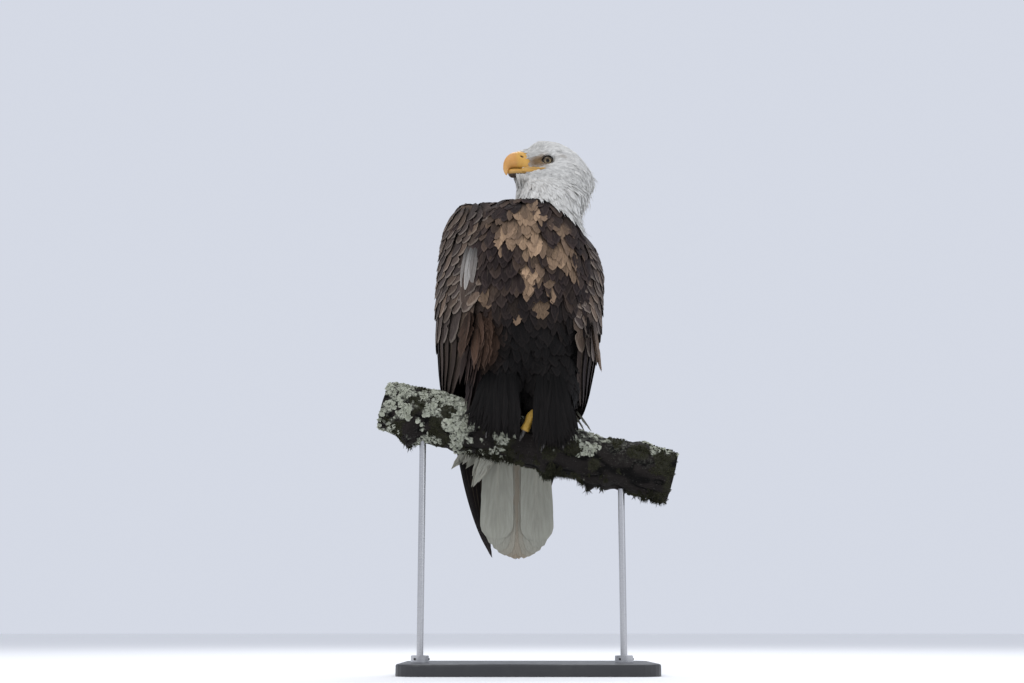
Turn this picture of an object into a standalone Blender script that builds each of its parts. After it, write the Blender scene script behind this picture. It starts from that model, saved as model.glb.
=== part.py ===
"""A life-size bald eagle, perched on a cut length of branch that a plain display stand carries.

The bird faces -Y with its left side at +X, and looks back over its right side, towards -X.
Its own frame (forward, left, up) starts where the feet hold the perch. The head has a frame of
its own, between the eyes, and the perch has one along its axis. All sizes are in metres.
"""

import math

import bmesh
import bpy
import numpy as np
from mathutils import Matrix, Vector

GAP = 0.0003  # clearance between neighbouring pieces
FLAT_ANGLE = math.radians(0.5)  # faces that meet flatter than this are one face
FORWARD, LEFT, UP = Vector((0, -1, 0)), Vector((1, 0, 0)), Vector((0, 0, 1))

# ---- display stand ----
BASE_SIZE = (0.44, 0.30, 0.020)
BASE_CORNER = 0.040
BASE_BEVEL = 0.003
CYLINDER_SIDES = 14
ROD_RADIUS = 0.006
ROD_AT = (-0.185, 0.165)
COLLAR_RADIUS = 0.016
COLLAR_HEIGHT = 0.012

# ---- perch ----
PERCH_CENTRE = Vector((0.0, -0.03, 0.402))
PERCH_SLOPE = math.radians(14)
PERCH_RADIUS = 0.0440
PERCH_HALF = 0.262
PERCH_SIDES = 18
PERCH_STATIONS = 11
PERCH_WAVE = 0.0012  # how far the bark swells and sinks
PERCH_WAVES = (31, 17)  # how fast it does so along the branch, straight and in a spiral

# ---- the bird's stance ----
BIRD_FOOT = Vector((-0.015, -0.03, 0.42))
BIRD_YAW = math.radians(5)
BIRD_LEAN = math.radians(3)
HEAD_CENTRE = Vector((0.032, -0.036, 0.9175))
HEAD_TURN = math.radians(12)

# ---- trunk: height, forward centre, half width, reach to the front, reach to the back ----
TRUNK_SIDES = 18
TRUNK_LEVELS = 11
TRUNK_SQUARENESS = 2.15
TRUNK = (
    (-0.032, -0.086, 0.024, 0.018, 0.018),
    (-0.010, -0.084, 0.045, 0.034, 0.028),
    (0.040, -0.070, 0.072, 0.050, 0.047),
    (0.100, -0.037, 0.096, 0.082, 0.079),
    (0.170, -0.015, 0.112, 0.096, 0.099),
    (0.240, -0.002, 0.120, 0.105, 0.110),
    (0.300, 0.004, 0.118, 0.105, 0.111),
    (0.350, 0.006, 0.110, 0.095, 0.105),
    (0.385, 0.006, 0.101, 0.081, 0.093),
    (0.410, 0.006, 0.080, 0.062, 0.077),
)

# ---- neck: height, forward centre, leftward centre, half width, half depth ----
NECK_SIDES = 20
NECK_LEVELS = 6
NECK = (
    (0.340, -0.003, 0.010, 0.085, 0.080),
    (0.370, -0.003, 0.022, 0.080, 0.077),
    (0.400, -0.003, 0.034, 0.074, 0.071),
    (0.430, -0.003, 0.044, 0.071, 0.062),
    (0.450, -0.002, 0.042, 0.068, 0.052),
    (0.466, 0.000, 0.040, 0.056, 0.038),
)

# ---- head: reach towards the bill, top, bottom, half width ----
HEAD_SIDES = 18
HEAD_LEVELS = 12
HEAD_SQUARENESS = 2.2
HEAD = (
    (-0.092, -0.026, -0.050, 0.010),
    (-0.082, -0.010, -0.060, 0.028),
    (-0.066, 0.009, -0.066, 0.042),
    (-0.048, 0.025, -0.066, 0.048),
    (-0.030, 0.035, -0.062, 0.048),
    (-0.012, 0.040, -0.056, 0.045),
    (0.006, 0.039, -0.049, 0.040),
    (0.020, 0.033, -0.044, 0.033),
    (0.030, 0.0255, -0.041, 0.022),
    (0.038, 0.0210, -0.038, 0.0150),
    (0.045, 0.0165, -0.034, 0.0105),
)
BROW_CENTRE = (0.010, 0.0055)
BROW_REACH = (0.018, 0.006)
BROW_BULGE = 0.0035
EYE_RADIUS = 0.0115
EYE_OUT = 0.028
EYE_DROP = 0.004
SOCKET_CENTRE = (0.003, 0.044, -0.005)
SOCKET_RADII = (0.017, 0.0155, 0.0095)
BALL_SEGMENTS, BALL_RINGS = 12, 6

# ---- bill: each ring runs from a lower to an upper point of the profile, with its half width ----
BILL_SIDES = 12
BILL_SQUARENESS = 2.1
UPPER_BILL = (
    ((0.0500, -0.0130), (0.0505, 0.0150), 0.0140),
    ((0.0550, -0.0140), (0.0590, 0.0138), 0.0135),
    ((0.0600, -0.0145), (0.0665, 0.0105), 0.0122),
    ((0.0640, -0.0152), (0.0722, 0.0040), 0.0103),
    ((0.0665, -0.0172), (0.0755, -0.0045), 0.0080),
    ((0.0678, -0.0198), (0.0762, -0.0135), 0.0058),
    ((0.0682, -0.0222), (0.0745, -0.0200), 0.0038),
)
UPPER_BILL_TIP = (0.0695, -0.0275)
CERE = (
    ((0.0270, -0.0140), (0.0270, 0.0150), 0.0180),
    ((0.0330, -0.0140), (0.0340, 0.0170), 0.0172),
    ((0.0420, -0.0137), (0.0430, 0.0172), 0.0156),
    ((0.0497, -0.0133), (0.0502, 0.0160), 0.0144),
)
LOWER_BILL = (
    ((0.0240, -0.0300), (0.0240, -0.0150), 0.0130),
    ((0.0350, -0.0285), (0.0350, -0.0150), 0.0125),
    ((0.0470, -0.0262), (0.0470, -0.0148), 0.0108),
    ((0.0560, -0.0238), (0.0560, -0.0154), 0.0080),
    ((0.0610, -0.0215), (0.0610, -0.0166), 0.0045),
)
GAPE_SIDES = 6
GAPE = (
    ((0.0460, -0.0155), (0.0460, -0.0132), 0.0150),
    ((0.0300, -0.0190), (0.0300, -0.0138), 0.0225),
    ((0.0160, -0.0205), (0.0160, -0.0150), 0.0345),
    ((0.0020, -0.0205), (0.0020, -0.0170), 0.0415),
)

# ---- wings: height, forward centre, half width, half depth, leading and trailing angle
#      (degrees from straight ahead), thickness ----
WING_LEVELS = 9
WING_STEPS = 11
WING = (
    (0.408, -0.010, 0.132, 0.054, 52, 118, 0.046),
    (0.390, -0.012, 0.148, 0.074, 42, 140, 0.054),
    (0.350, -0.015, 0.157, 0.092, 38, 158, 0.056),
    (0.300, -0.018, 0.161, 0.103, 37, 171, 0.052),
    (0.240, -0.022, 0.162, 0.109, 43, 176, 0.046),
    (0.180, -0.028, 0.159, 0.110, 49, 177, 0.038),
    (0.120, -0.038, 0.150, 0.106, 54, 177, 0.032),
    (0.060, -0.054, 0.135, 0.098, 70, 177, 0.026),
    (0.010, -0.073, 0.117, 0.086, 84, 175, 0.020),
    (-0.060, -0.096, 0.095, 0.070, 84, 168, 0.014),
    (-0.120, -0.117, 0.074, 0.057, 88, 158, 0.011),
    (-0.170, -0.132, 0.053, 0.047, 95, 150, 0.008),
    (-0.205, -0.143, 0.034, 0.040, 105, 142, 0.005),
)
LEFT_WING_WIDTH = 0.885  # the left wing lies closer to the body than the right
LEFT_WING_DROP = 0.028
WING_SPLIT = 0.010  # height where the secondaries end over the primaries
WING_SPLIT_RISE = 0.050  # how much higher that edge is at the leading side
SECONDARY_SCALLOPS = 5
SCALLOP_DEPTH = 0.006
WING_THIN_EDGE = 0.18  # share of the way round over which the wing thins towards its edges
PRIMARY_LEVELS = 6
PRIMARY_TIPS = 4
PRIMARY_TIP_SPREAD = 0.050  # how much shorter the outermost primaries are than the longest
PRIMARY_STEP = 0.003

# ---- tail: share of its length from the root, forward, height, half width, thickness ----
TAIL_FEATHERS = 12
TAIL_LEVELS = 5
TAIL = (
    (0.00, -0.074, 0.060, 0.032, 0.012),
    (0.20, -0.090, 0.012, 0.050, 0.011),
    (0.45, -0.104, -0.052, 0.062, 0.009),
    (0.70, -0.115, -0.120, 0.064, 0.007),
    (0.90, -0.122, -0.182, 0.065, 0.0055),
    (1.00, -0.125, -0.213, 0.065, 0.0045),
)
TAIL_SWING = 0.019  # the tip hangs this far to the bird's left
TAIL_ROOF = 0.010  # how far the outer feathers lie below the middle ones
TAIL_ROUNDING = 0.088  # how much shorter the outer feathers are, as a share of the length
TAIL_NOTCH = 0.010  # how far the gap between two feather tips runs up, as such a share

# ---- legs ----
THIGH_SIDES = 12
THIGH_LEVELS = 5
THIGH = (  # height above the foot, forward centre, half width, half depth
    (0.150, -0.006, 0.044, 0.042),
    (0.110, 0.000, 0.056, 0.054),
    (0.070, 0.004, 0.054, 0.054),
    (0.035, 0.006, 0.049, 0.050),
    (0.005, 0.008, 0.041, 0.044),
    (-0.018, 0.012, 0.026, 0.034),
)
TARSUS = ((0.00, 0.0131), (0.15, 0.0105), (0.50, 0.0097), (1.00, 0.0105))  # share of height, radius
TARSUS_HEIGHT = 0.070
TARSUS_TILT = 0.05  # how far it leans forward for each unit of its height
PAD_THICKNESS = 0.012
GRIP = 0.0008  # how far the feet stay clear of the bark
TOE_SIDES = 8
TOE_STEPS = 6
TOE_RADII = (0.0098, 0.0074)
TOE_KNUCKLE = 0.0008
CLAW_SIDES = 6
CLAW_STEPS = 6
CLAW_RADIUS = 0.0058
CLAW_TAPER = 0.88  # how much thinner than its root the tip is
CLAW_SUNK = 0.08  # share of the claw that lies inside the toe
CLAW_SPLAY = 0.12  # how much further out than its toe the tip ends, as a share of the toe's reach
CLAW_ARCH = 0.0060  # how far a claw bows off the perch on its way to the tip
FIRST_TOE_ANGLE = math.radians(17)
# toe number: where it starts and ends along the perch from its foot, the angle round the perch
# where the claw starts and the angle where it ends (degrees from the top, forward positive)
TOES = {
    "left": {
        1: (0.000, 0.004, -66, -104),
        2: (-0.024, -0.035, 78, 106),
        3: (0.000, 0.002, 84, 118),
        4: (0.018, 0.034, 70, 102),
    },
    "right": {
        1: (0.000, -0.004, -66, -104),
        2: (0.018, 0.030, 72, 104),
        3: (0.000, -0.004, 84, 118),
        4: (-0.018, -0.036, 72, 104),
    },
}
FOOT_ALONG = {"left": 0.046, "right": -0.047}  # from below the bird's own frame, along the perch

# colour, roughness, metallic
FINISHES = {
    "white plumage": ((0.80, 0.79, 0.76), 0.85, 0.0),
    "dark plumage": ((0.060, 0.042, 0.034), 0.85, 0.0),
    "flight feathers": ((0.035, 0.027, 0.024), 0.70, 0.0),
    "yellow bill": ((0.82, 0.47, 0.10), 0.40, 0.0),
    "yellow cere": ((0.85, 0.56, 0.10), 0.50, 0.0),
    "eye": ((0.62, 0.52, 0.26), 0.08, 0.0),
    "yellow scutes": ((0.80, 0.50, 0.06), 0.55, 0.0),
    "black claw": ((0.020, 0.018, 0.018), 0.30, 0.0),
    "bark": ((0.165, 0.150, 0.120), 0.90, 0.0),
    "painted base": ((0.030, 0.030, 0.032), 0.45, 0.0),
    "steel": ((0.45, 0.45, 0.46), 0.30, 1.0),
}


UNCUT = {}  # each piece's mesh as first made, which is what its neighbours are cut with


def frame_matrix(forward, left, up, origin):
    """The matrix that takes (forward, left, up) to world coordinates."""
    return Matrix.Translation(origin) @ Matrix((forward, left, up)).transposed().to_4x4()


def bird_frame():
    yawed = Matrix.Rotation(BIRD_YAW, 3, UP)
    forward, left = yawed @ FORWARD, yawed @ LEFT
    leaned = Matrix.Rotation(-BIRD_LEAN, 3, forward)
    return frame_matrix(forward, leaned @ left, leaned @ UP, BIRD_FOOT)


def head_frame():
    forward = Vector((-math.cos(HEAD_TURN), -math.sin(HEAD_TURN), 0))
    return frame_matrix(forward, UP.cross(forward), UP, HEAD_CENTRE)


BIRD = bird_frame()
HEAD_FRAME = head_frame()
PERCH_AXIS = Vector((math.cos(PERCH_SLOPE), 0, -math.sin(PERCH_SLOPE)))
PERCH_UP = Vector((math.sin(PERCH_SLOPE), 0, math.cos(PERCH_SLOPE)))


def bird(forward, left, up):
    return BIRD @ Vector((forward, left, up))


def head(forward, left, up):
    return HEAD_FRAME @ Vector((forward, left, up))


def perch(along, around, above):
    """A point by its place along the perch, its angle from the top towards the front, and its
    height above the bark."""
    straight, spiral = PERCH_WAVES
    swell = math.sin(straight * along + 0.6) + math.sin(3 * around + spiral * along)
    out = PERCH_RADIUS + PERCH_WAVE * swell + above
    across = math.cos(around) * PERCH_UP + math.sin(around) * FORWARD
    return PERCH_CENTRE + along * PERCH_AXIS + out * across


class Stations:
    """Rows of (position, values...), read between the rows along monotone cubic curves."""

    def __init__(self, rows):
        table = np.array(sorted(rows), dtype=float)
        self.x, self.y = table[:, 0], table[:, 1:]
        step = np.diff(self.x)[:, None]
        rise = np.diff(self.y, axis=0) / step
        before, after = rise[:-1], rise[1:]
        wide = 2 * step[1:] + step[:-1]
        narrow = step[1:] + 2 * step[:-1]
        same_way = before * after > 0
        safe_before = np.where(same_way, before, 1)
        safe_after = np.where(same_way, after, 1)
        middle = (wide + narrow) / (wide / safe_before + narrow / safe_after)
        self.slope = np.vstack([rise[:1], np.where(same_way, middle, 0), rise[-1:]])

    def at(self, position):
        i = int(np.clip(np.searchsorted(self.x, position) - 1, 0, len(self.x) - 2))
        step = self.x[i + 1] - self.x[i]
        t = (position - self.x[i]) / step
        first = (1 + 2 * t) * (1 - t) ** 2 * self.y[i] + t * (1 - t) ** 2 * step * self.slope[i]
        last = t * t * (3 - 2 * t) * self.y[i + 1] + t * t * (t - 1) * step * self.slope[i + 1]
        return (first + last).tolist()

    def spread(self, count):
        """Positions from the first row to the last, evenly spaced by row number."""
        rows = range(len(self.x))
        return [float(np.interp(row, rows, self.x)) for row in spaced(0, rows[-1], count)]


def spaced(start, end, count):
    """Evenly spaced numbers from start to end."""
    return [start + (end - start) * k / (count - 1) for k in range(count)]


def superellipse(angle, squareness=2.0):
    """(cosine, sine) of a rounded square outline at this angle."""
    c, s = math.cos(angle), math.sin(angle)
    size = (abs(c) ** squareness + abs(s) ** squareness) ** (-1 / squareness)
    return c * size, s * size


def turns(count):
    return [2 * math.pi * k / count for k in range(count)]


def add_material(obj, finish):
    colour, roughness, metallic = FINISHES[finish]
    material = bpy.data.materials.new(obj.name + "_finish")
    material.use_nodes = True
    shader = material.node_tree.nodes["Principled BSDF"]
    shader.inputs["Base Color"].default_value = (*colour, 1)
    shader.inputs["Roughness"].default_value = roughness
    shader.inputs["Metallic"].default_value = metallic
    obj.data.materials.append(material)


def add_object(name, mesh_source, finish):
    """An object from a bmesh: faces turned outwards, split into triangles so that every copy of
    a twisted face bends the same way, and shaded smooth where it is round."""
    bmesh.ops.recalc_face_normals(mesh_source, faces=mesh_source.faces)
    bmesh.ops.triangulate(mesh_source, faces=mesh_source.faces)
    mesh = bpy.data.meshes.new(name)
    mesh_source.to_mesh(mesh)
    mesh_source.free()
    mesh.shade_smooth()
    mesh.set_sharp_from_angle(angle=math.radians(50))
    UNCUT[name] = mesh.copy()
    obj = bpy.data.objects.new(name, mesh)
    bpy.context.scene.collection.objects.link(obj)
    if finish:
        add_material(obj, finish)
    return obj


def loft(name, rings, first_pole, last_pole, finish):
    """A closed skin through the rings, drawn to a point at either end."""
    bm = bmesh.new()
    rows = [[bm.verts.new(point) for point in ring] for ring in rings]
    count = len(rows[0])
    for here, there in zip(rows, rows[1:]):
        for k in range(count):
            after = (k + 1) % count
            bm.faces.new((here[k], here[after], there[after], there[k]))
    for row, pole in ((rows[0], first_pole), (rows[-1], last_pole)):
        point = bm.verts.new(pole)
        for k in range(count):
            bm.faces.new((row[k], row[(k + 1) % count], point))
    return add_object(name, bm, finish)


def slab(name, outer, inner, finish):
    """A closed plate between an outer and an inner grid of points of the same shape."""
    bm = bmesh.new()
    sheets = [[[bm.verts.new(point) for point in row] for row in grid] for grid in (outer, inner)]
    rows, columns = len(outer), len(outer[0])
    for sheet in sheets:
        for i in range(rows - 1):
            for j in range(columns - 1):
                bm.faces.new((sheet[i][j], sheet[i][j + 1], sheet[i + 1][j + 1], sheet[i + 1][j]))
    rim = [(0, j) for j in range(columns)]
    rim += [(i, columns - 1) for i in range(1, rows)]
    rim += [(rows - 1, j) for j in range(columns - 2, -1, -1)]
    rim += [(i, 0) for i in range(rows - 2, 0, -1)]
    for (i, j), (m, n) in zip(rim, rim[1:] + rim[:1]):
        bm.faces.new((sheets[0][i][j], sheets[0][m][n], sheets[1][m][n], sheets[1][i][j]))
    return add_object(name, bm, finish)


def tube(name, centres, radii, finish, sides):
    """A closed tube along the centres, ending in points half a radius beyond its last rings."""
    steps = [(b - a).normalized() for a, b in zip(centres, centres[1:])]
    bends = [(a + b).normalized() for a, b in zip(steps, steps[1:])]
    tangents = [steps[0], *bends, steps[-1]]
    across = tangents[0].orthogonal().normalized()
    rings = []
    for centre, tangent, radius in zip(centres, tangents, radii):
        across = (across - across.dot(tangent) * tangent).normalized()
        upright = tangent.cross(across)
        ring = []
        for turn in turns(sides):
            ring.append(centre + radius * (math.cos(turn) * across + math.sin(turn) * upright))
        rings.append(ring)
    first_pole = centres[0] - 0.5 * radii[0] * tangents[0]
    last_pole = centres[-1] + 0.5 * radii[-1] * tangents[-1]
    return loft(name, rings, first_pole, last_pole, finish)


def ellipsoid(name, matrix, radii, finish):
    bm = bmesh.new()
    bmesh.ops.create_uvsphere(bm, u_segments=BALL_SEGMENTS, v_segments=BALL_RINGS, radius=1)
    bm.transform(matrix @ Matrix.Diagonal((*radii, 1)))
    return add_object(name, bm, finish)


def keep_largest_body(mesh):
    """Drops the scraps that a cut leaves beside the main body."""
    bm = bmesh.new()
    bm.from_mesh(mesh)
    bodies, seen = [], set()
    for start in bm.verts:
        if start in seen:
            continue
        body, queue = [], [start]
        seen.add(start)
        while queue:
            vert = queue.pop()
            body.append(vert)
            for edge in vert.link_edges:
                other = edge.other_vert(vert)
                if other not in seen:
                    seen.add(other)
                    queue.append(other)
        bodies.append(body)
    bodies.sort(key=len)
    for body in bodies[:-1]:
        bmesh.ops.delete(bm, geom=body, context="VERTS")
    bmesh.ops.dissolve_limit(bm, angle_limit=FLAT_ANGLE, verts=bm.verts, edges=bm.edges)
    bmesh.ops.triangulate(bm, faces=bm.faces)
    bm.to_mesh(mesh)
    bm.free()


def grown_copy(obj, margin):
    """A copy of the uncut object, every face of it moved outwards by about the margin."""
    mesh = UNCUT[obj.name].copy()
    moved = [vert.co + margin * vert.normal for vert in mesh.vertices]
    for vert, place in zip(mesh.vertices, moved):
        vert.co = place
    copy = bpy.data.objects.new("cutter", mesh)
    copy.hide_render = True
    copy.display_type = "WIRE"
    bpy.context.scene.collection.objects.link(copy)
    return copy


def cut(target, *tools, margin=1.3 * GAP):
    """Takes each tool, with a clearance around it, out of the target."""
    for tool in tools:
        cutter = grown_copy(tool, margin)
        modifier = target.modifiers.new("cut", "BOOLEAN")
        modifier.operation = "DIFFERENCE"
        modifier.solver = "EXACT"
        modifier.object = cutter
        graph = bpy.context.evaluated_depsgraph_get()
        mesh = bpy.data.meshes.new_from_object(target.evaluated_get(graph))
        target.modifiers.clear()
        target.data = mesh
        keep_largest_body(mesh)
        bpy.data.objects.remove(cutter)


def build_base():
    """The base plate: a flat box with round corners and a softened top edge."""
    width, depth, height = BASE_SIZE
    bm = bmesh.new()
    bmesh.ops.create_cube(bm, size=1, matrix=Matrix.Diagonal((width, depth, height, 1)))
    bmesh.ops.translate(bm, verts=bm.verts, vec=(0, 0, height / 2))
    upright = [e for e in bm.edges if abs(e.verts[0].co.z - e.verts[1].co.z) > height / 2]
    bmesh.ops.bevel(bm, geom=upright, offset=BASE_CORNER, segments=6, profile=0.5, affect="EDGES")
    top = [e for e in bm.edges if all(v.co.z > height - 1e-5 for v in e.verts)]
    bmesh.ops.bevel(bm, geom=top, offset=BASE_BEVEL, segments=2, profile=0.5, affect="EDGES")
    return add_object("stand_base", bm, "painted base")


def steel_cylinder(name, centre_x, bottom, top, radius):
    bm = bmesh.new()
    size = {"radius1": radius, "radius2": radius, "depth": top - bottom}
    bmesh.ops.create_cone(bm, cap_ends=True, segments=CYLINDER_SIDES, **size)
    bmesh.ops.translate(bm, verts=bm.verts, vec=(centre_x, PERCH_CENTRE.y, (top + bottom) / 2))
    return add_object(name, bm, "steel")


def build_stand(branch):
    """A base plate, and two steel rods that rise from collars on it and end under the perch."""
    build_base()
    floor = BASE_SIZE[2] + GAP
    for letter, x in zip("ab", ROD_AT):
        perch_height = PERCH_CENTRE.z - x * math.tan(PERCH_SLOPE)
        rod = steel_cylinder(f"stand_rod_{letter}", x, floor, perch_height, ROD_RADIUS)
        cut(rod, branch)
        top = floor + COLLAR_HEIGHT
        collar = steel_cylinder(f"stand_collar_{letter}", x, floor, top, COLLAR_RADIUS)
        cut(collar, rod)


def build_perch():
    """The branch: round, slightly uneven, sawn square at both ends."""
    bm = bmesh.new()
    rows = []
    for along in spaced(-PERCH_HALF, PERCH_HALF, PERCH_STATIONS):
        rows.append([bm.verts.new(perch(along, turn, 0)) for turn in turns(PERCH_SIDES)])
    for here, there in zip(rows, rows[1:]):
        for k in range(PERCH_SIDES):
            after = (k + 1) % PERCH_SIDES
            bm.faces.new((here[k], here[after], there[after], there[k]))
    bm.faces.new(rows[0])
    bm.faces.new(rows[-1])
    return add_object("perch_branch", bm, "bark")


def build_trunk():
    rows = Stations(TRUNK)
    rings = []
    for height in rows.spread(TRUNK_LEVELS):
        centre, half_width, front, back = rows.at(height)
        ring = []
        for turn in turns(TRUNK_SIDES):
            ahead, aside = superellipse(turn, TRUNK_SQUARENESS)
            reach = front if ahead > 0 else back
            ring.append(bird(centre + reach * ahead, half_width * aside, height))
        rings.append(ring)
    first, last = TRUNK[0], TRUNK[-1]
    below = bird(first[1] - 0.004, 0, first[0] - 0.012)
    above = bird(last[1], 0, last[0] + 0.012)
    return loft("trunk", rings, below, above, "dark plumage")


def build_neck():
    rows = Stations(NECK)
    rings = []
    for height in rows.spread(NECK_LEVELS):
        ahead, aside, half_width, half_depth = rows.at(height)
        rings.append(
            [
                bird(ahead + half_depth * math.cos(turn), aside + half_width * math.sin(turn), height)
                for turn in turns(NECK_SIDES)
            ]
        )
    first, last = NECK[0], NECK[-1]
    below = bird(first[1], first[2], first[0] - 0.004)
    above = bird(last[1], last[2], last[0] + 0.006)
    return loft("neck", rings, below, above, "white plumage")


def brow_bulge(forward, up):
    """How far the brow stands out over the eye at this place on the side of the head."""
    away = (forward - BROW_CENTRE[0]) / BROW_REACH[0], (up - BROW_CENTRE[1]) / BROW_REACH[1]
    return BROW_BULGE * math.exp(-(away[0] ** 2 + away[1] ** 2))


def build_skull():
    rows = Stations(HEAD)
    rings = []
    for forward in rows.spread(HEAD_LEVELS):
        top, bottom, half_width = rows.at(forward)
        middle, half_height = (top + bottom) / 2, (top - bottom) / 2
        ring = []
        for turn in turns(HEAD_SIDES):
            upward, aside = superellipse(turn, HEAD_SQUARENESS)
            up = middle + half_height * upward
            left = half_width * aside
            left += math.copysign(brow_bulge(forward, up), left) if abs(aside) > 0.3 else 0
            ring.append(head(forward, left, up))
        rings.append(ring)
    first, last = HEAD[0], HEAD[-1]
    behind = head(first[0] - 0.005, 0, (first[1] + first[2]) / 2)
    ahead = head(last[0] + 0.003, 0, (last[1] + last[2]) / 2)
    return loft("head", rings, behind, ahead, "white plumage")


def bill_rings(rows):
    rings = []
    for low, high, half_width in rows:
        middle = ((low[0] + high[0]) / 2, (low[1] + high[1]) / 2)
        reach = ((high[0] - low[0]) / 2, (high[1] - low[1]) / 2)
        ring = []
        for turn in turns(BILL_SIDES):
            upward, aside = superellipse(turn, BILL_SQUARENESS)
            forward = middle[0] + reach[0] * upward
            up = middle[1] + reach[1] * upward
            ring.append(head(forward, half_width * aside, up))
        rings.append(ring)
    return rings


def bill_end(row, step):
    """The point that closes a bill piece, a step beyond its last ring."""
    low, high, _ = row
    return head((low[0] + high[0]) / 2 + step, 0, (low[1] + high[1]) / 2)


def build_bill():
    behind, ahead = bill_end(CERE[0], -0.002), bill_end(CERE[-1], -0.001)
    cere = loft("cere", bill_rings(CERE), behind, ahead, "yellow cere")
    behind, tip = bill_end(UPPER_BILL[0], 0.001), head(UPPER_BILL_TIP[0], 0, UPPER_BILL_TIP[1])
    upper = loft("bill_upper", bill_rings(UPPER_BILL), behind, tip, "yellow bill")
    behind, tip = bill_end(LOWER_BILL[0], -0.002), bill_end(LOWER_BILL[-1], 0.002)
    lower = loft("bill_lower", bill_rings(LOWER_BILL), behind, tip, "yellow bill")
    cut(upper, cere)
    cut(lower, cere, upper)
    return cere, upper, lower


def build_gape(side, sign, cere, lower):
    """The yellow corner of the mouth, which runs back under the eye."""
    centres, radii = [], []
    for low, high, half_width in GAPE:
        centres.append(head((low[0] + high[0]) / 2, sign * half_width, (low[1] + high[1]) / 2))
        radii.append((high[1] - low[1]) / 2)
    gape = tube(f"gape_{side}", centres, radii, "yellow cere", GAPE_SIDES)
    cut(gape, cere, lower)
    return gape


def build_eye(side, sign):
    place = HEAD_FRAME @ Matrix.Translation((0, sign * EYE_OUT, -EYE_DROP))
    return ellipsoid(f"eye_{side}", place, (EYE_RADIUS,) * 3, "eye")


def build_face(skull):
    """Bill, mouth corners and eyes, each set into the feathered head."""
    cere, upper, lower = build_bill()
    pieces = [cere, upper, lower]
    for side, sign in (("left", 1), ("right", -1)):
        pieces.append(build_gape(side, sign, cere, lower))
        eye = build_eye(side, sign)
        x, y, z = SOCKET_CENTRE
        place = HEAD_FRAME @ Matrix.Translation((x, sign * y, z))
        socket = ellipsoid("socket", place, SOCKET_RADII, None)
        cut(skull, socket, eye)
        bpy.data.objects.remove(socket)
    cut(skull, *pieces)
    return pieces


def wing_point(rows, sign, height, share, depth):
    """A point of the folded wing: by height, by its share of the way from the leading to the
    trailing edge, and by depth from the outer face (0) to the inner one (1)."""
    centre, half_width, half_depth, leading, trailing, thickness = rows.at(height)
    angle = math.radians(leading + share * (trailing - leading))
    if sign > 0:
        half_width *= LEFT_WING_WIDTH
        height -= LEFT_WING_DROP * min(max(height / WING[0][0], 0), 1)
    edge = min(share, 1 - share) / WING_THIN_EDGE
    inward = thickness * depth * (0.45 + 0.55 * math.sqrt(min(edge, 1)))
    left = (half_width - inward) * math.sin(angle)
    forward = centre + (half_depth - inward) * math.cos(angle)
    return bird(forward, sign * left, height)


def split_height(share):
    """The lower edge of the secondaries, a row of rounded feather ends."""
    scallop = abs(math.sin(math.pi * SECONDARY_SCALLOPS * share))
    return WING_SPLIT + WING_SPLIT_RISE * (1 - share) - SCALLOP_DEPTH * scallop


def tip_height(share):
    """The lower edge of the primaries: stepped feather tips, the longest behind."""
    reach = math.sqrt(math.sin(math.pi * (0.12 + 0.76 * share)))
    step = PRIMARY_STEP * abs(math.sin(math.pi * PRIMARY_TIPS * share))
    return WING[-1][0] + PRIMARY_TIP_SPREAD * (1 - reach) - step


def build_wing(side, sign, trunk, neck, branch):
    rows = Stations(WING)
    shares = spaced(0, 1, WING_STEPS)
    top = WING[0][0]

    def grids(start, end, levels):
        grid = {0: [], 1: []}
        for depth in (0, 1):
            for level in spaced(0, 1, levels):
                row = []
                for share in shares:
                    height = start(share) + level * (end(share) - start(share))
                    row.append(wing_point(rows, sign, height, share, depth))
                grid[depth].append(row)
        return grid[0], grid[1]

    outer, inner = grids(lambda share: top, split_height, WING_LEVELS)
    wing = slab(f"wing_{side}", outer, inner, "dark plumage")
    cut(wing, trunk, neck, branch)
    outer, inner = grids(lambda share: split_height(share) - 2 * GAP, tip_height, PRIMARY_LEVELS)
    primaries = slab(f"primaries_{side}", outer, inner, "flight feathers")
    cut(primaries, trunk, branch)
    return wing, primaries


def build_tail(*neighbours):
    rows = Stations(TAIL)
    across = spaced(-1, 1, 2 * TAIL_FEATHERS + 1)
    outer, inner = [], []
    for level in spaced(0, 1, TAIL_LEVELS):
        front, back = [], []
        for place in across:
            notch = 1 - abs(math.sin(math.pi * TAIL_FEATHERS * (place + 1) / 2))
            share = level * (1 - TAIL_ROUNDING * abs(place) ** 3 - TAIL_NOTCH * notch)
            forward, height, half_width, thickness = rows.at(share)
            left = half_width * place + TAIL_SWING * share
            roof = TAIL_ROOF * place * place * level
            back.append(bird(forward - thickness / 2 + roof, left, height))
            front.append(bird(forward + thickness / 2 + roof, left, height))
        outer.append(front)
        inner.append(back)
    tail = slab("tail", outer, inner, "white plumage")
    cut(tail, *neighbours)
    return tail


def foot_place(side):
    """Where the foot stands along the perch axis."""
    below = (BIRD_FOOT - PERCH_CENTRE).dot(PERCH_AXIS)
    return below + FOOT_ALONG[side]


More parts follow.
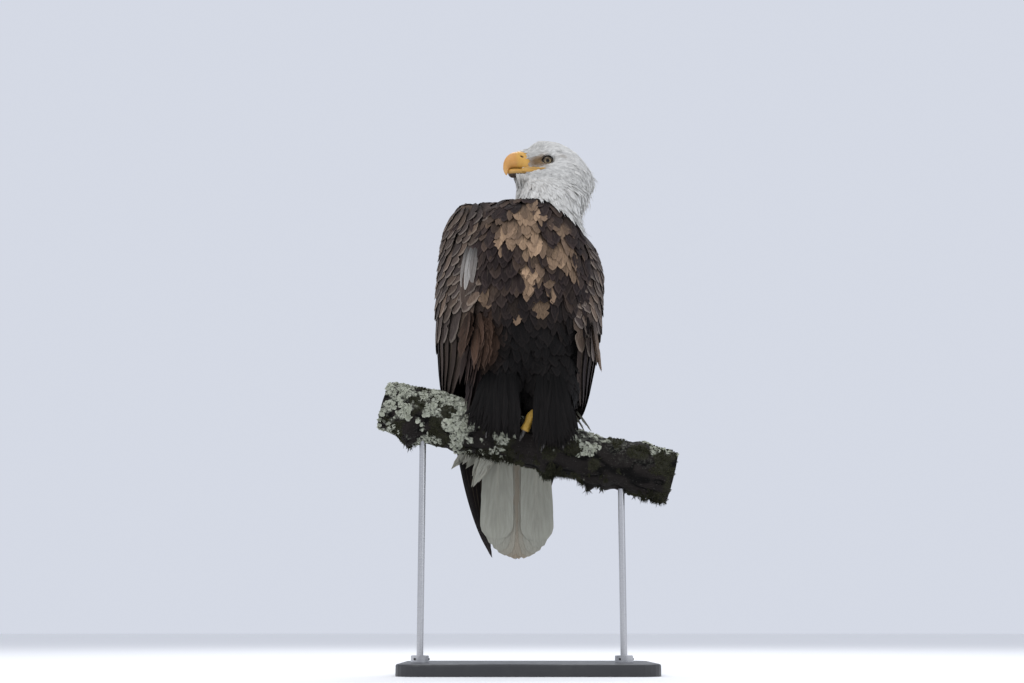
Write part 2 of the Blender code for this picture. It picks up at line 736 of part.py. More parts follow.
def build_foot(side):
    """Tarsus with its pad, and four toes with claws bent round the perch."""
    along = foot_place(side)
    bottom = perch(along, 0, GRIP + PAD_THICKNESS)
    top = bottom + TARSUS_HEIGHT * (BIRD.to_3x3() @ Vector((TARSUS_TILT, 0, 1))).normalized()
    shank = [bottom.lerp(top, share) for share, _ in TARSUS]
    radii = [radius for _, radius in TARSUS]
    tarsus = tube(f"tarsus_{side}", shank, radii, "yellow scutes", TOE_SIDES)
    toes, claws = [], []
    for number, (start, end, claw_start, claw_end) in TOES[side].items():
        way = 1 if claw_start > 0 else -1
        start_angle = way * FIRST_TOE_ANGLE
        claw_start, claw_end = math.radians(claw_start), math.radians(claw_end)
        centres, radii = [], []
        for share in spaced(0, 1, TOE_STEPS):
            radius = TOE_RADII[0] + share * (TOE_RADII[1] - TOE_RADII[0])
            radius += TOE_KNUCKLE * math.cos(4 * math.pi * share)
            angle = start_angle + share * (claw_start - start_angle)
            radii.append(radius)
            centres.append(perch(along + start + share * (end - start), angle, GRIP + radius))
        toe = tube(f"toe_{side}_{number}", centres, radii, "yellow scutes", TOE_SIDES)
        centres, radii = [], []
        for share in spaced(0, 1, CLAW_STEPS):
            radius = CLAW_RADIUS * (1 - CLAW_TAPER * share ** 1.2)
            angle = claw_start + (share - CLAW_SUNK) * (claw_end - claw_start)
            lift = GRIP + radius + CLAW_ARCH * math.sin(math.pi * share ** 0.8)
            radii.append(radius)
            centres.append(perch(along + end * (1 + CLAW_SPLAY * share), angle, lift))
        claw = tube(f"claw_{side}_{number}", centres, radii, "black claw", CLAW_SIDES)
        cut(toe, claw)
        toes.append(toe)
        claws.append(claw)
    for i, toe in enumerate(toes):
        cut(toe, *toes[:i])
    cut(tarsus, *toes)
    return [tarsus] + toes + claws


def build_thigh(side, *neighbours):
    """The feathered leg, from the belly down to the toes."""
    rows = Stations(THIGH)
    foot = BIRD.inverted() @ perch(foot_place(side), 0, 0)
    rings = []
    for height in rows.spread(THIGH_LEVELS):
        ahead, half_width, half_depth = rows.at(height)
        rings.append(
            [
                bird(
                    ahead + half_depth * math.cos(turn),
                    foot.y + half_width * math.sin(turn),
                    foot.z + height,
                )
                for turn in turns(THIGH_SIDES)
            ]
        )
    low, high = THIGH[-1], THIGH[0]
    below = bird(low[1], foot.y, foot.z + low[0] - 0.010)
    above = bird(high[1], foot.y, foot.z + high[0] + 0.010)
    thigh = loft(f"thigh_{side}", rings, below, above, "dark plumage")
    cut(thigh, *neighbours)
    return thigh


def build_eagle(branch):
    sides = (("left", 1), ("right", -1))
    skull = build_skull()
    trunk = build_trunk()
    neck = build_neck()
    cut(neck, skull, trunk)
    cut(neck, *build_face(skull))
    feet = {side: build_foot(side) for side, _ in sides}
    grip = [branch] + feet["left"] + feet["right"]
    wings = []
    for side, sign in sides:
        wings += build_wing(side, sign, trunk, neck, branch)
    build_tail(trunk, *wings)
    cut(trunk, *grip)
    thighs = []
    for side, _ in sides:
        thighs.append(build_thigh(side, trunk, *grip, *wings, *thighs))


def main():
    for obj in list(bpy.data.objects):
        bpy.data.objects.remove(obj, do_unlink=True)
    branch = build_perch()
    build_stand(branch)
    build_eagle(branch)


main()
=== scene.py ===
"""A life-size bald eagle on a cut length of branch, finished in feathers, horn, bark and steel round
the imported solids. Feathers are closed vanes laid over one skin. All sizes are in metres.
"""

import contextlib
import functools
import itertools
import math

import bmesh
import bpy
import numpy as np
from bpy.props import FloatProperty, FloatVectorProperty, IntProperty, PointerProperty
from mathutils import Matrix, Vector
from mathutils.bvhtree import BVHTree


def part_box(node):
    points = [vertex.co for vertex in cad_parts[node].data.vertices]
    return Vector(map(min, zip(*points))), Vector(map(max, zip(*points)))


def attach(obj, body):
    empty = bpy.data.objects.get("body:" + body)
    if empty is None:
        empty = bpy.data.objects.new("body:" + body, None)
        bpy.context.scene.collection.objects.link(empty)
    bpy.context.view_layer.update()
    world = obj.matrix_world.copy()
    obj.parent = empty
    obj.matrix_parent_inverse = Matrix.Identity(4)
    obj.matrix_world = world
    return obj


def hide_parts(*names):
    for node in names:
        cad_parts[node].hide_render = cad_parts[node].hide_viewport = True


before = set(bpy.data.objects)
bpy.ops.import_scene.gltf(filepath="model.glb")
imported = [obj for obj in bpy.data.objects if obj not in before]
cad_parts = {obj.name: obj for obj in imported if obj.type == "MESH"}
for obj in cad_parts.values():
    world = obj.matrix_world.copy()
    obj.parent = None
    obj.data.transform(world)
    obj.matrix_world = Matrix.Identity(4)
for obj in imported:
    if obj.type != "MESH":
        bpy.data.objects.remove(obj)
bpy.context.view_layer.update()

bl_info = {
    "name": "Perched Eagle",
    "version": (1, 0, 0),
    "blender": (4, 5, 0),
    "location": "3D View > Sidebar > Eagle",
    "description": "Builds a life-size perched eagle on a display stand",
    "category": "Add Mesh",
}

SIDES = (("left", 1), ("right", -1))
DOWN = np.array((0.0, 0.0, -1.0))
SEED = 7
FLESH_VOXEL = 0.00275  # fineness of the skin
SHARP_BARB = math.radians(50)  # feathers and turned steel show an edge where they bend more than this
SHARP_METAL = math.radians(35)
PATCH_SIZE = 0.003  # of a feather's patch in the OFBake map

# ---- the bird's stance, as the solids have it ----
BIRD_FOOT = (-0.015, -0.03, 0.42)
BIRD_YAW = math.radians(5)
BIRD_LEAN = math.radians(3)
EYE_DROP = 0.004  # the eyes sit this far below the head frame's origin

# ---- perch ----
PERCH_CENTRE = np.array((0.0, -0.03, 0.402))
PERCH_SLOPE = math.radians(14)
PERCH_RADIUS = 0.0440
PERCH_HALF = 0.262
PERCH_WAVE = 0.0012
SAWN_RINGS = 12

# ---- folded wing: height, forward centre, half width, half depth, leading and trailing angle,
#      thickness ----
WING = (
    (0.408, -0.010, 0.132, 0.054, 52, 118, 0.046),
    (0.390, -0.012, 0.148, 0.074, 42, 140, 0.054),
    (0.350, -0.015, 0.157, 0.092, 38, 158, 0.056),
    (0.300, -0.018, 0.161, 0.103, 37, 171, 0.052),
    (0.240, -0.022, 0.162, 0.109, 43, 176, 0.046),
    (0.180, -0.028, 0.159, 0.110, 49, 177, 0.038),
    (0.120, -0.038, 0.150, 0.106, 54, 177, 0.032),
    (0.060, -0.054, 0.135, 0.098, 70, 177, 0.026),
    (0.010, -0.073, 0.117, 0.086, 84, 175, 0.020),
    (-0.060, -0.096, 0.095, 0.070, 84, 168, 0.014),
    (-0.120, -0.117, 0.074, 0.057, 88, 158, 0.011),
    (-0.170, -0.132, 0.053, 0.047, 95, 150, 0.008),
    (-0.205, -0.143, 0.034, 0.040, 105, 142, 0.005),
)
LEFT_WING_WIDTH = 0.885
LEFT_WING_DROP = 0.028

# ---- tail: share of its length, forward, height, half width ----
TAIL = (
    (0.00, -0.074, 0.060, 0.032),
    (0.20, -0.090, 0.012, 0.050),
    (0.45, -0.104, -0.052, 0.062),
    (0.70, -0.115, -0.120, 0.064),
    (0.90, -0.122, -0.182, 0.065),
    (1.00, -0.125, -0.213, 0.065),
)
TAIL_SWING = 0.019
TAIL_FEATHERS = 12

# ---- bill, in the head frame: lower and upper profile points, half width ----
CERE = (
    ((0.0250, -0.0262), (0.0240, 0.0150), 0.0200),
    ((0.0315, -0.0255), (0.0320, 0.0176), 0.0188),
    ((0.0370, -0.0205), (0.0385, 0.0192), 0.0176),
    ((0.0430, -0.0152), (0.0445, 0.0197), 0.0160),
    ((0.0497, -0.0134), (0.0515, 0.0188), 0.0149),
)
UPPER_BILL = (
    ((0.0480, -0.0132), (0.0490, 0.0187), 0.0146),
    ((0.0550, -0.0137), (0.0590, 0.0166), 0.0139),
    ((0.0600, -0.0140), (0.0668, 0.0118), 0.0125),
    ((0.0640, -0.0148), (0.0728, 0.0048), 0.0105),
    ((0.0660, -0.0165), (0.0762, -0.0045), 0.0080),
    ((0.0672, -0.0195), (0.0769, -0.0135), 0.0058),
    ((0.0684, -0.0235), (0.0750, -0.0218), 0.0032),
    ((0.0700, -0.0274), (0.0714, -0.0276), 0.0008),
)
LOWER_BILL = (
    ((0.0240, -0.0290), (0.0240, -0.0140), 0.0150),
    ((0.0390, -0.0300), (0.0390, -0.0136), 0.0128),
    ((0.0520, -0.0312), (0.0520, -0.0138), 0.0108),
    ((0.0600, -0.0312), (0.0605, -0.0144), 0.0084),
    ((0.0652, -0.0285), (0.0655, -0.0156), 0.0054),
    ((0.0676, -0.0250), (0.0676, -0.0185), 0.0022),
)
# the yellow skin at the corner of the mouth: forward, aside, height, half its height
MOUTH_CORNER = (
    (0.0455, 0.0113, -0.0190, 0.0022),
    (0.0410, 0.0140, -0.0190, 0.0040),
    (0.0350, 0.0170, -0.0190, 0.0052),
    (0.0290, 0.0200, -0.0194, 0.0052),
    (0.0215, 0.0245, -0.0203, 0.0040),
    (0.0115, 0.0320, -0.0215, 0.0018),
    (0.0055, 0.0360, -0.0218, 0.0006),
)
# the line between the jaws, painted dark as shade in the crease: forward and height
MOUTH_LINE = ((0.000, -0.0226), (0.0215, -0.0214), (0.0290, -0.0190), (0.0370, -0.0150), (0.0500, -0.0132))
# the slit of the nostril: its middle, the way it runs, half its length and half its width
NOSTRIL = (0.0450, 0.0054)
NOSTRIL_WAY = (0.88, 0.47)
NOSTRIL_HALF = (0.0036, 0.0015)

# ---- feet: where a toe starts and ends along the perch from its foot, and its angles ----
GRIP = 0.0008
FOOT_ALONG = {"left": 0.046, "right": -0.047}
FIRST_TOE_ANGLE = math.radians(17)
TOES = {
    "left": {
        1: (0.000, 0.004, -66, -104),
        2: (-0.024, -0.035, 78, 106),
        3: (0.000, 0.002, 84, 118),
        4: (0.018, 0.034, 70, 102),
    },
    "right": {
        1: (0.000, -0.004, -66, -104),
        2: (0.018, 0.030, 72, 104),
        3: (0.000, -0.004, 84, 118),
        4: (-0.018, -0.036, 72, 104),
    },
}

# ---- markings: worn pale feathers on the breast, as (x, z, half width, half height, strength) ----
WORN_PATCHES = (
    (0.000, 0.812, 0.018, 0.012, 0.7),
    (0.002, 0.788, 0.034, 0.014, 1.0),
    (-0.035, 0.746, 0.022, 0.024, 1.0),
    (0.006, 0.742, 0.024, 0.036, 1.0),
    (0.053, 0.768, 0.016, 0.018, 0.6),
    (0.060, 0.712, 0.030, 0.026, 0.95),
    (0.082, 0.690, 0.014, 0.022, 0.6),
    (0.002, 0.682, 0.025, 0.016, 1.0),
    (-0.003, 0.657, 0.009, 0.020, 0.9),
    (0.023, 0.630, 0.008, 0.022, 0.8),
    (0.043, 0.655, 0.009, 0.022, 0.8),
    (-0.014, 0.607, 0.010, 0.014, 0.5),
    (-0.072, 0.643, 0.026, 0.018, 0.5),
    (-0.062, 0.770, 0.030, 0.030, 0.36),
)
RUST_PATCH = (-0.084, 0.572, 0.034, 0.046)
# darker feathers before the eye, and painted shade behind it, as (forward, up, half length, half height)
LORE = (0.0210, -0.0085, 0.0185, 0.0115)
BEHIND_EYE = (-0.016, 0.0, 0.007, 0.004)
MARKS = ("white", "worn", "rust", "lore", "deep")
# the line where the tips of the white hackles end, as (x, z) in front and one height behind
WHITE_EDGE = (
    (-0.10, 0.846), (-0.02, 0.836), (0.035, 0.828), (0.061, 0.806), (0.088, 0.794), (0.105, 0.812),
    (0.13, 0.82),
)
WHITE_EDGE_BEHIND = 0.812

# ---- small mathematics ----


def unit(vectors):
    return vectors / np.maximum(np.linalg.norm(vectors, axis=-1, keepdims=True), 1e-12)


def dot(a, b):
    return np.sum(a * b, axis=-1, keepdims=True)


def smoothstep(low, high, value):
    t = np.clip((value - low) / (high - low), 0, 1)
    return t * t * (3 - 2 * t)


def circle(sides):
    """Angles all the way round, one for each side."""
    return np.linspace(0, 2 * math.pi, sides, endpoint=False)


def blob(a, b, patch, power=2):
    """1 in the middle of a patch, which is (middle a, middle b, half a, half b), and 0 outside it. A
    large power makes its edge hard."""
    middle_a, middle_b, half_a, half_b = patch
    return np.exp(-(((a - middle_a) / half_a) ** 2 + ((b - middle_b) / half_b) ** 2) ** power)


def noise(points, seed=0):
    """Smooth noise from -1 to 1, one cell to a unit."""
    points = np.asarray(points, float)
    cell = np.floor(points).astype(np.int64)
    t = points - cell
    t = t * t * (3 - 2 * t)
    total = np.zeros(len(points))
    for corner in itertools.product((0, 1), repeat=3):
        key = cell + np.array(corner)
        h = key[:, 0] * 73856093 ^ key[:, 1] * 19349663 ^ key[:, 2] * 83492791 ^ (seed * 6542989 + 77)
        h = (h * 1103515245 + 12345) & 0x7FFFFFFF
        h = ((h >> 8) * 22695477 + 1) & 0x7FFFFFFF
        value = ((h >> 7) % 65536) / 32767.5 - 1
        total += value * np.prod(np.where(corner, t, 1 - t), axis=1)
    return total


class Stations:
    """Rows of (position, values...), read between the rows along monotone cubic curves."""

    def __init__(self, rows):
        table = np.array(sorted(rows), dtype=float)
        self.x, self.y = table[:, 0], table[:, 1:]
        step = np.diff(self.x)[:, None]
        rise = np.diff(self.y, axis=0) / step
        before, after = rise[:-1], rise[1:]
        wide, narrow = 2 * step[1:] + step[:-1], step[1:] + 2 * step[:-1]
        same_way = before * after > 0
        safe_before, safe_after = np.where(same_way, before, 1), np.where(same_way, after, 1)
        middle = (wide + narrow) / (wide / safe_before + narrow / safe_after)
        self.slope = np.vstack([rise[:1], np.where(same_way, middle, 0), rise[-1:]])

    def at(self, position):
        position = np.asarray(position, float)
        i = np.clip(np.searchsorted(self.x, position) - 1, 0, len(self.x) - 2)
        step = (self.x[i + 1] - self.x[i])[..., None]
        t = np.clip((position - self.x[i])[..., None] / step, -0.2, 1.2)
        first = (1 + 2 * t) * (1 - t) ** 2 * self.y[i] + t * (1 - t) ** 2 * step * self.slope[i]
        last = t * t * (3 - 2 * t) * self.y[i + 1] + t * t * (t - 1) * step * self.slope[i + 1]
        return first + last


WING_ROWS, TAIL_ROWS, WHITE_ROWS = Stations(WING), Stations(TAIL), Stations(WHITE_EDGE)


class Axes:
    """A frame with a forward, a left and an up direction."""

    def __init__(self, origin, forward, left, up):
        self.origin = np.array(origin, float)
        self.axes = np.array([tuple(forward), tuple(left), tuple(up)], float)

    def world(self, forward, left, up):
        local = np.stack(np.broadcast_arrays(forward, left, up), axis=-1)
        return self.origin + local @ self.axes

    def local(self, points):
        return (np.asarray(points) - self.origin) @ self.axes.T


def bird_axes():
    yawed = Matrix.Rotation(BIRD_YAW, 3, "Z")
    forward, left = yawed @ Vector((0, -1, 0)), yawed @ Vector((1, 0, 0))
    leaned = Matrix.Rotation(-BIRD_LEAN, 3, forward)
    return Axes(BIRD_FOOT, forward, leaned @ left, leaned @ Vector((0, 0, 1)))


def box_centre(node):
    low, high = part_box(node)
    return np.array((low + high) / 2)


def head_axes():
    left_eye, right_eye = box_centre("eye_left"), box_centre("eye_right")
    left = unit(left_eye - right_eye)
    up = -DOWN
    return Axes((left_eye + right_eye) / 2 + EYE_DROP * up, np.cross(left, up), left, up)


BIRD = bird_axes()
HEAD = head_axes()
EYE_RADIUS = float((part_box("eye_left")[1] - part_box("eye_left")[0]).z / 2)
PERCH_AXIS = np.array((math.cos(PERCH_SLOPE), 0, -math.sin(PERCH_SLOPE)))
PERCH_UP = np.array((math.sin(PERCH_SLOPE), 0, math.cos(PERCH_SLOPE)))
PERCH_FRONT = np.array((0.0, -1.0, 0.0))


def perch(along, around, above):
    """Points by their place along the perch, their angle from its top towards the front, and their
    height above the bark."""
    along, around, above = np.broadcast_arrays(along, around, above)
    swell = np.sin(31 * along + 0.6) + np.sin(3 * around + 17 * along)
    out = (PERCH_RADIUS + PERCH_WAVE * swell + above)[..., None]
    across = np.cos(around)[..., None] * PERCH_UP + np.sin(around)[..., None] * PERCH_FRONT
    return PERCH_CENTRE + along[..., None] * PERCH_AXIS + out * across


def from_perch(points):
    """Where the points lie along the perch, and the way to each from the perch's axis."""
    away = points - PERCH_CENTRE
    along = away @ PERCH_AXIS
    return along, away - along[:, None] * PERCH_AXIS


# ---- meshes ----


def read(items, field, width=3, kind=float):
    """One field of a mesh's vertices or triangles, as an array."""
    values = np.empty(len(items) * width, kind)
    items.foreach_get(field, values)
    return values.reshape(-1, width)


def set_values(mesh, values):
    """Stores named numbers or vectors on a mesh, one for each point."""
    for key, value in values.items():
        value = np.asarray(value, np.float32)
        kind, field = ("FLOAT", "value") if value.ndim == 1 else ("FLOAT_VECTOR", "vector")
        mesh.attributes.new(key, kind, "POINT").data.foreach_set(field, value.ravel())


@contextlib.contextmanager
def editing(mesh):
    bm = bmesh.new()
    bm.from_mesh(mesh)
    yield bm
    bm.to_mesh(mesh)
    bm.free()


def mesh_from_arrays(name, points, faces, uv=None, values=None):
    """A mesh from arrays. faces is a list of arrays of corner indices, one array for each number of
    corners. uv holds (u, v) and values holds named numbers or vectors, one for each point."""
    mesh = bpy.data.meshes.new(name)
    mesh.vertices.add(len(points))
    mesh.vertices.foreach_set("co", np.asarray(points, np.float32).ravel())
    corners = np.concatenate([f.ravel() for f in faces]).astype(np.int32)
    totals = np.concatenate([np.full(len(f), f.shape[1]) for f in faces])
    mesh.loops.add(len(corners))
    mesh.loops.foreach_set("vertex_index", corners)
    mesh.polygons.add(len(totals))
    mesh.polygons.foreach_set("loop_start", (np.cumsum(totals) - totals).astype(np.int32))
    if uv is not None:
        layer = mesh.uv_layers.new(name="OFBake")
        layer.data.foreach_set("uv", np.asarray(uv, np.float32)[corners].ravel())
    set_values(mesh, values or {})
    mesh.update(calc_edges=True)
    mesh.validate()
    mesh.shade_smooth()
    return mesh


def add_piece(name, mesh, material, replaces=()):
    """Puts a finished mesh in the scene as a piece of the object."""
    mesh.materials.clear()
    mesh.materials.append(material)
    piece = linked(name, mesh)
    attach(piece, "root")
    if replaces:
        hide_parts(*replaces)
    return piece


def linked(name, data):
    """A new object in the scene."""
    made = bpy.data.objects.new(name, data)
    bpy.context.scene.collection.objects.link(made)
    return made


def mesh_of(helper):
    """The plain mesh that a helper's modifiers make of it. The helper is removed."""
    graph = bpy.context.evaluated_depsgraph_get()
    mesh = bpy.data.meshes.new_from_object(helper.evaluated_get(graph))
    bpy.data.objects.remove(helper)
    return mesh


def modified(mesh, *steps):
    """The mesh after modifiers, each given as (type, {setting: value})."""
    helper = linked("helper", mesh)
    for kind, settings in steps:
        modifier = helper.modifiers.new(kind, kind)
        for key, value in settings.items():
            setattr(modifier, key, value)
    return mesh_of(helper)


def grown(tree, mesh, **values):
    """The mesh that a geometry node tree makes from a mesh. values are the tree's inputs, by name."""
    helper = linked("helper", mesh)
    modifier = helper.modifiers.new("grow", "NODES")
    modifier.node_group = tree
    for item in tree.interface.items_tree:
        if item.in_out == "INPUT" and item.name in values:
            modifier[item.identifier] = values[item.name]
    return mesh_of(helper)


def loft(rings, first_pole, last_pole):
    """Points and faces of a closed skin through rings of points, drawn to a point at each end."""
    rings = np.asarray(rings, float)
    count, sides = rings.shape[:2]
    points = np.vstack([rings.reshape(-1, 3), first_pole, last_pole])
    index = np.arange(count * sides).reshape(count, sides)
    after = np.roll(index, -1, axis=1)
    quads = np.stack([index[:-1], after[:-1], after[1:], index[1:]], axis=-1).reshape(-1, 4)
    first = np.stack([after[0], index[0], np.full(sides, count * sides)], axis=-1)
    last = np.stack([index[-1], after[-1], np.full(sides, count * sides + 1)], axis=-1)
    return points, quads, np.vstack([first, last])


def tube_rings(centres, radii, sides):
    """Rings of points round a path, without twist. radii holds one number for each ring."""
    steps = unit(np.diff(centres, axis=0))
    tangents = unit(np.vstack([steps[:1], steps[:-1] + steps[1:], steps[-1:]]))
    across = np.cross(tangents[0], (0.0, 0.0, 1.0) if abs(tangents[0][2]) < 0.9 else (1.0, 0.0, 0.0))
    turn = circle(sides)[:, None]
    rings = []
    for centre, tangent, radius in zip(centres, tangents, radii):
        across = unit(across - dot(across, tangent) * tangent)
        other = np.cross(tangent, across)
        rings.append(centre + radius * (np.cos(turn) * across + np.sin(turn) * other))
    return np.array(rings)


def closed_ring(rings):
    """Points and faces of a tube of rings whose last ring joins its first."""
    index = np.arange(rings.shape[0] * rings.shape[1]).reshape(rings.shape[:2])
    after = np.roll(index, -1, axis=1)
    quads = np.stack([index, after, np.roll(after, -1, axis=0), np.roll(index, -1, axis=0)], axis=-1)
    return rings.reshape(-1, 3), quads.reshape(-1, 4)


class Gathered:
    """Closed shells gathered into one mesh."""

    def __init__(self):
        self.points, self.quads, self.tris, self.uv, self.values = [], [], [], [], []
        self.count = 0

    def gather(self, points, quads, tris, values):
        self.points.append(points)
        self.quads.append(quads + self.count)
        self.tris.append(tris + self.count)
        self.values.append(values)
        self.count += len(points)

    def mesh(self, name):
        values = {k: np.concatenate([v[k] for v in self.values]) for k in self.values[0]}
        faces = [np.vstack(self.quads), np.vstack(self.tris)]
        uv = np.vstack(self.uv) if self.uv else None
        return mesh_from_arrays(name, np.vstack(self.points), faces, uv, values)


class Shells(Gathered):
    """Shells of horn and skin, each value the same all over a shell or one for each point."""

    def add(self, points, quads, tris, **values):
        self.gather(points, quads, tris, {k: np.broadcast_to(v, len(points)) for k, v in values.items()})

    def mesh(self, name):
        return outward(super().mesh(name))


def outward(mesh):
    with editing(mesh) as bm:
        bmesh.ops.recalc_face_normals(bm, faces=bm.faces)
    return mesh


# ---- materials ----


class Nodes:
    """Short ways to add and join nodes in one tree."""

    def __init__(self, tree):
        self.tree = tree

    def add(self, kind, inputs=(), **settings):
        node = self.tree.nodes.new(kind)
        for key, value in settings.items():
            setattr(node, key, value)
        for key, value in dict(inputs).items():
            self.feed(node.inputs[key], value)
        return node

    def feed(self, socket, value):
        if isinstance(value, bpy.types.NodeSocket):
            self.tree.links.new(value, socket)
        elif socket.type == "RGBA":
            socket.default_value = (*value, 1)
        else:
            socket.default_value = value

    def math(self, operation, a, b=0.0, c=0.0):
        return self.add("ShaderNodeMath", {0: a, 1: b, 2: c}, operation=operation).outputs[0]

    def times(self, a, b):
        return self.math("MULTIPLY", a, b)

    def times_plus(self, a, b, c):
        return self.math("MULTIPLY_ADD", a, b, c)

    def step(self, value, low, high, to_low=0.0, to_high=1.0):
        ends = {"Value": value, "From Min": low, "From Max": high, "To Min": to_low, "To Max": to_high}
        return self.add("ShaderNodeMapRange", ends, interpolation_type="SMOOTHSTEP").outputs["Result"]

    def mix(self, share, a, b, blend="MIX"):
        colours = {0: share, 6: a, 7: b}
        return self.add("ShaderNodeMix", colours, data_type="RGBA", blend_type=blend).outputs[2]

    def join(self, *parts):
        """A vector from three numbers."""
        return self.add("ShaderNodeCombineXYZ", dict(enumerate(parts))).outputs[0]

    def noise(self, vector, scale, detail=3.0, roughness=0.55):
        settings = {"Vector": vector, "Scale": scale, "Detail": detail, "Roughness": roughness}
        return self.add("ShaderNodeTexNoise", settings).outputs["Fac"]

    def attribute(self, name, output="Fac"):
        return self.add("ShaderNodeAttribute", attribute_name=name).outputs[output]

    def place(self, scale=None):
        """Object coordinates, stretched if asked."""
        place = self.add("ShaderNodeTexCoord").outputs["Object"]
        if scale is None:
            return place
        return self.add("ShaderNodeMapping", {"Vector": place, "Scale": scale}).outputs[0]

    def named(self, name, kind="FLOAT"):
        """An attribute read in a geometry node tree."""
        return self.add("GeometryNodeInputNamedAttribute", {"Name": name}, data_type=kind).outputs[0]

    def realized(self, instances, material):
        """Ends a geometry node tree with real copies of the instances, in one material."""
        real = self.add("GeometryNodeRealizeInstances", {"Geometry": instances}).outputs[0]
        done = self.add("GeometryNodeSetMaterial", {"Geometry": real, "Material": material}).outputs[0]
        self.add("NodeGroupOutput", {"Geometry": done})
        return self.tree


def new_tree(name, kind, inputs, outputs):
    """A node tree, as its node helper and its inputs. inputs hold a colour or a number for each name,
    or only the kind of its socket. outputs hold kinds."""
    tree = bpy.data.node_groups.new(name, kind)
    for way, sockets in (("INPUT", inputs), ("OUTPUT", outputs)):
        for key, value in sockets.items():
            given = value if isinstance(value, str) else "Color" if isinstance(value, tuple) else "Float"
            made = tree.interface.new_socket(key, in_out=way, socket_type=f"NodeSocket{given}")
            if given != value:
                made.default_value = (*value, 1) if given == "Color" else value
    n = Nodes(tree)
    return n, n.add("NodeGroupInput").outputs


def geometry_tree(name, **inputs):
    inputs = {"Geometry": "Geometry", **inputs}
    return new_tree(name, "GeometryNodeTree", inputs, {"Geometry": "Geometry"})


class Look(Nodes):
    """A material: one Principled shader and the nodes before it."""

    def __init__(self, name, **sockets):
        self.material = bpy.data.materials.new(name)
        self.material.use_nodes = True
        super().__init__(self.material.node_tree)
        self.set(**sockets)

    def set(self, **sockets):
        """Gives sockets of the shader a value or a link. Spaces in their names are written as _."""
        shader = self.tree.nodes["Principled BSDF"]
        for key, value in sockets.items():
            self.feed(shader.inputs[key.replace("_", " ")], value)

    def bump(self, height, strength, distance):
        settings = {"Height": height, "Strength": strength, "Distance": distance}
        self.set(Normal=self.add("ShaderNodeBump", settings).outputs["Normal"])


def scaled(colour, share):
    """The colour made darker, or lighter if share is over 1."""
    return tuple(share * c for c in colour)


@functools.cache
def vane_group():
    """Colour and relief of one feather: a darker root, a paler worn fringe, a shaft and fine barbs."""
    inputs = {
        "Colour": (0.1, 0.08, 0.06), "Fringe Colour": (0.4, 0.3, 0.2), "Fringe": 0.5, "Fringe Width": 0.3,
        "Shaft Colour": (0.05, 0.04, 0.03), "Shaft": 0.5, "Root Shade": 0.5, "Tone Spread": 0.3,
        "Barbs": 60.0, "Streaks": 1.0,
    }
    n, given = new_tree("Feather Vane", "ShaderNodeTree", inputs, {"Colour": "Color", "Height": "Float"})
    split = n.add("ShaderNodeSeparateXYZ", {0: n.attribute("vane", "Vector")}).outputs
    across, along = n.math("ABSOLUTE", split[0]), split[1]
    tone = n.attribute("tone")
    end = n.times(n.math("MAXIMUM", n.math("SUBTRACT", along, 0.55), 0.0), 2.2)
    side = n.times(across, n.step(along, 0.1, 0.7, 0.72, 1.0))
    rim = n.math("SQRT", n.times_plus(side, side, n.times(end, end)))
    start = n.math("SUBTRACT", 1.0, given["Fringe Width"])
    # fringe and shaft fade where the underside's painted shade lies
    shown = n.step(n.attribute("deep"), 0.0, 1.0, 1.0, 0.22)
    fringe = n.times(n.step(rim, start, 1.0), n.times(given["Fringe"], shown))
    lighter = n.mix(1.0, given["Colour"], given["Fringe Colour"], "ADD")
    colour = n.mix(fringe, given["Colour"], lighter)
    near_shaft = n.step(across, 0.14, 0.03)
    shaft = n.times(n.step(along, 0.98, 0.5), n.times(given["Shaft"], shown))
    shaft = n.times(near_shaft, shaft)
    colour = n.mix(shaft, colour, given["Shaft Colour"])
    root = n.times(n.step(along, 0.55, 0.05), given["Root Shade"])
    colour = n.mix(root, colour, (0.0, 0.0, 0.0))
    slant = n.times_plus(across, -0.35, along)
    barbs = n.math("SINE", n.times(slant, given["Barbs"]))
    grain = n.join(n.times(split[0], 5.0), n.times(slant, 9.0), n.times(tone, 40.0))
    streak = n.step(n.noise(grain, 1.0, 3.0, 0.6), 0.3, 0.7, -0.22, 0.22)
    brightness = n.times_plus(n.math("SUBTRACT", tone, 0.5), given["Tone Spread"], 1.0)
    brightness = n.times_plus(streak, given["Streaks"], brightness)
    brightness = n.times_plus(barbs, 0.04, brightness)
    grey = n.add("ShaderNodeCombineColor", {0: brightness, 1: brightness, 2: brightness}).outputs[0]
    colour = n.mix(1.0, colour, grey, "MULTIPLY")
    height = n.times_plus(near_shaft, 1.2, n.times(barbs, 0.35))
    n.add("NodeGroupOutput", {"Colour": colour, "Height": height})
    return n.tree


@functools.cache
def markings_group():
    """The bird's colours by its markings and its painted shade, the same on the skin and on the feathers over
    it.
    """
    inputs = dict.fromkeys(("Dark", "Worn", "Rust", "White", "Lore", "Deep"), "Color")
    n, given = new_tree("Plumage Markings", "ShaderNodeTree", inputs, {"Colour": "Color"})
    # the Deep colour darkens the belly and legs: painted shade of the underside
    colour = n.mix(n.attribute("deep"), given["Dark"], given["Deep"])
    along = n.add("ShaderNodeSeparateXYZ", {0: n.attribute("vane", "Vector")}).outputs[1]
    worn = n.times(n.attribute("worn"), n.step(along, 0.0, 0.6, 0.3, 1.0))
    colour = n.mix(worn, colour, given["Worn"])
    for key in ("Rust", "White", "Lore"):
        colour = n.mix(n.attribute(key.lower()), colour, given[key])
    n.add("NodeGroupOutput", {"Colour": colour})
    return n.tree


def markings(n, dark=None, white=None):
    """The colour of the markings, with another dark or another white where one is given."""
    look = bpy.context.scene.eagle_plumage
    colours = {
        "Dark": dark or look.breast, "Worn": look.worn, "Rust": look.rust,
        "White": white or look.white, "Lore": look.lore, "Deep": look.belly,
    }
    return n.add("ShaderNodeGroup", colours, node_tree=markings_group()).outputs["Colour"]


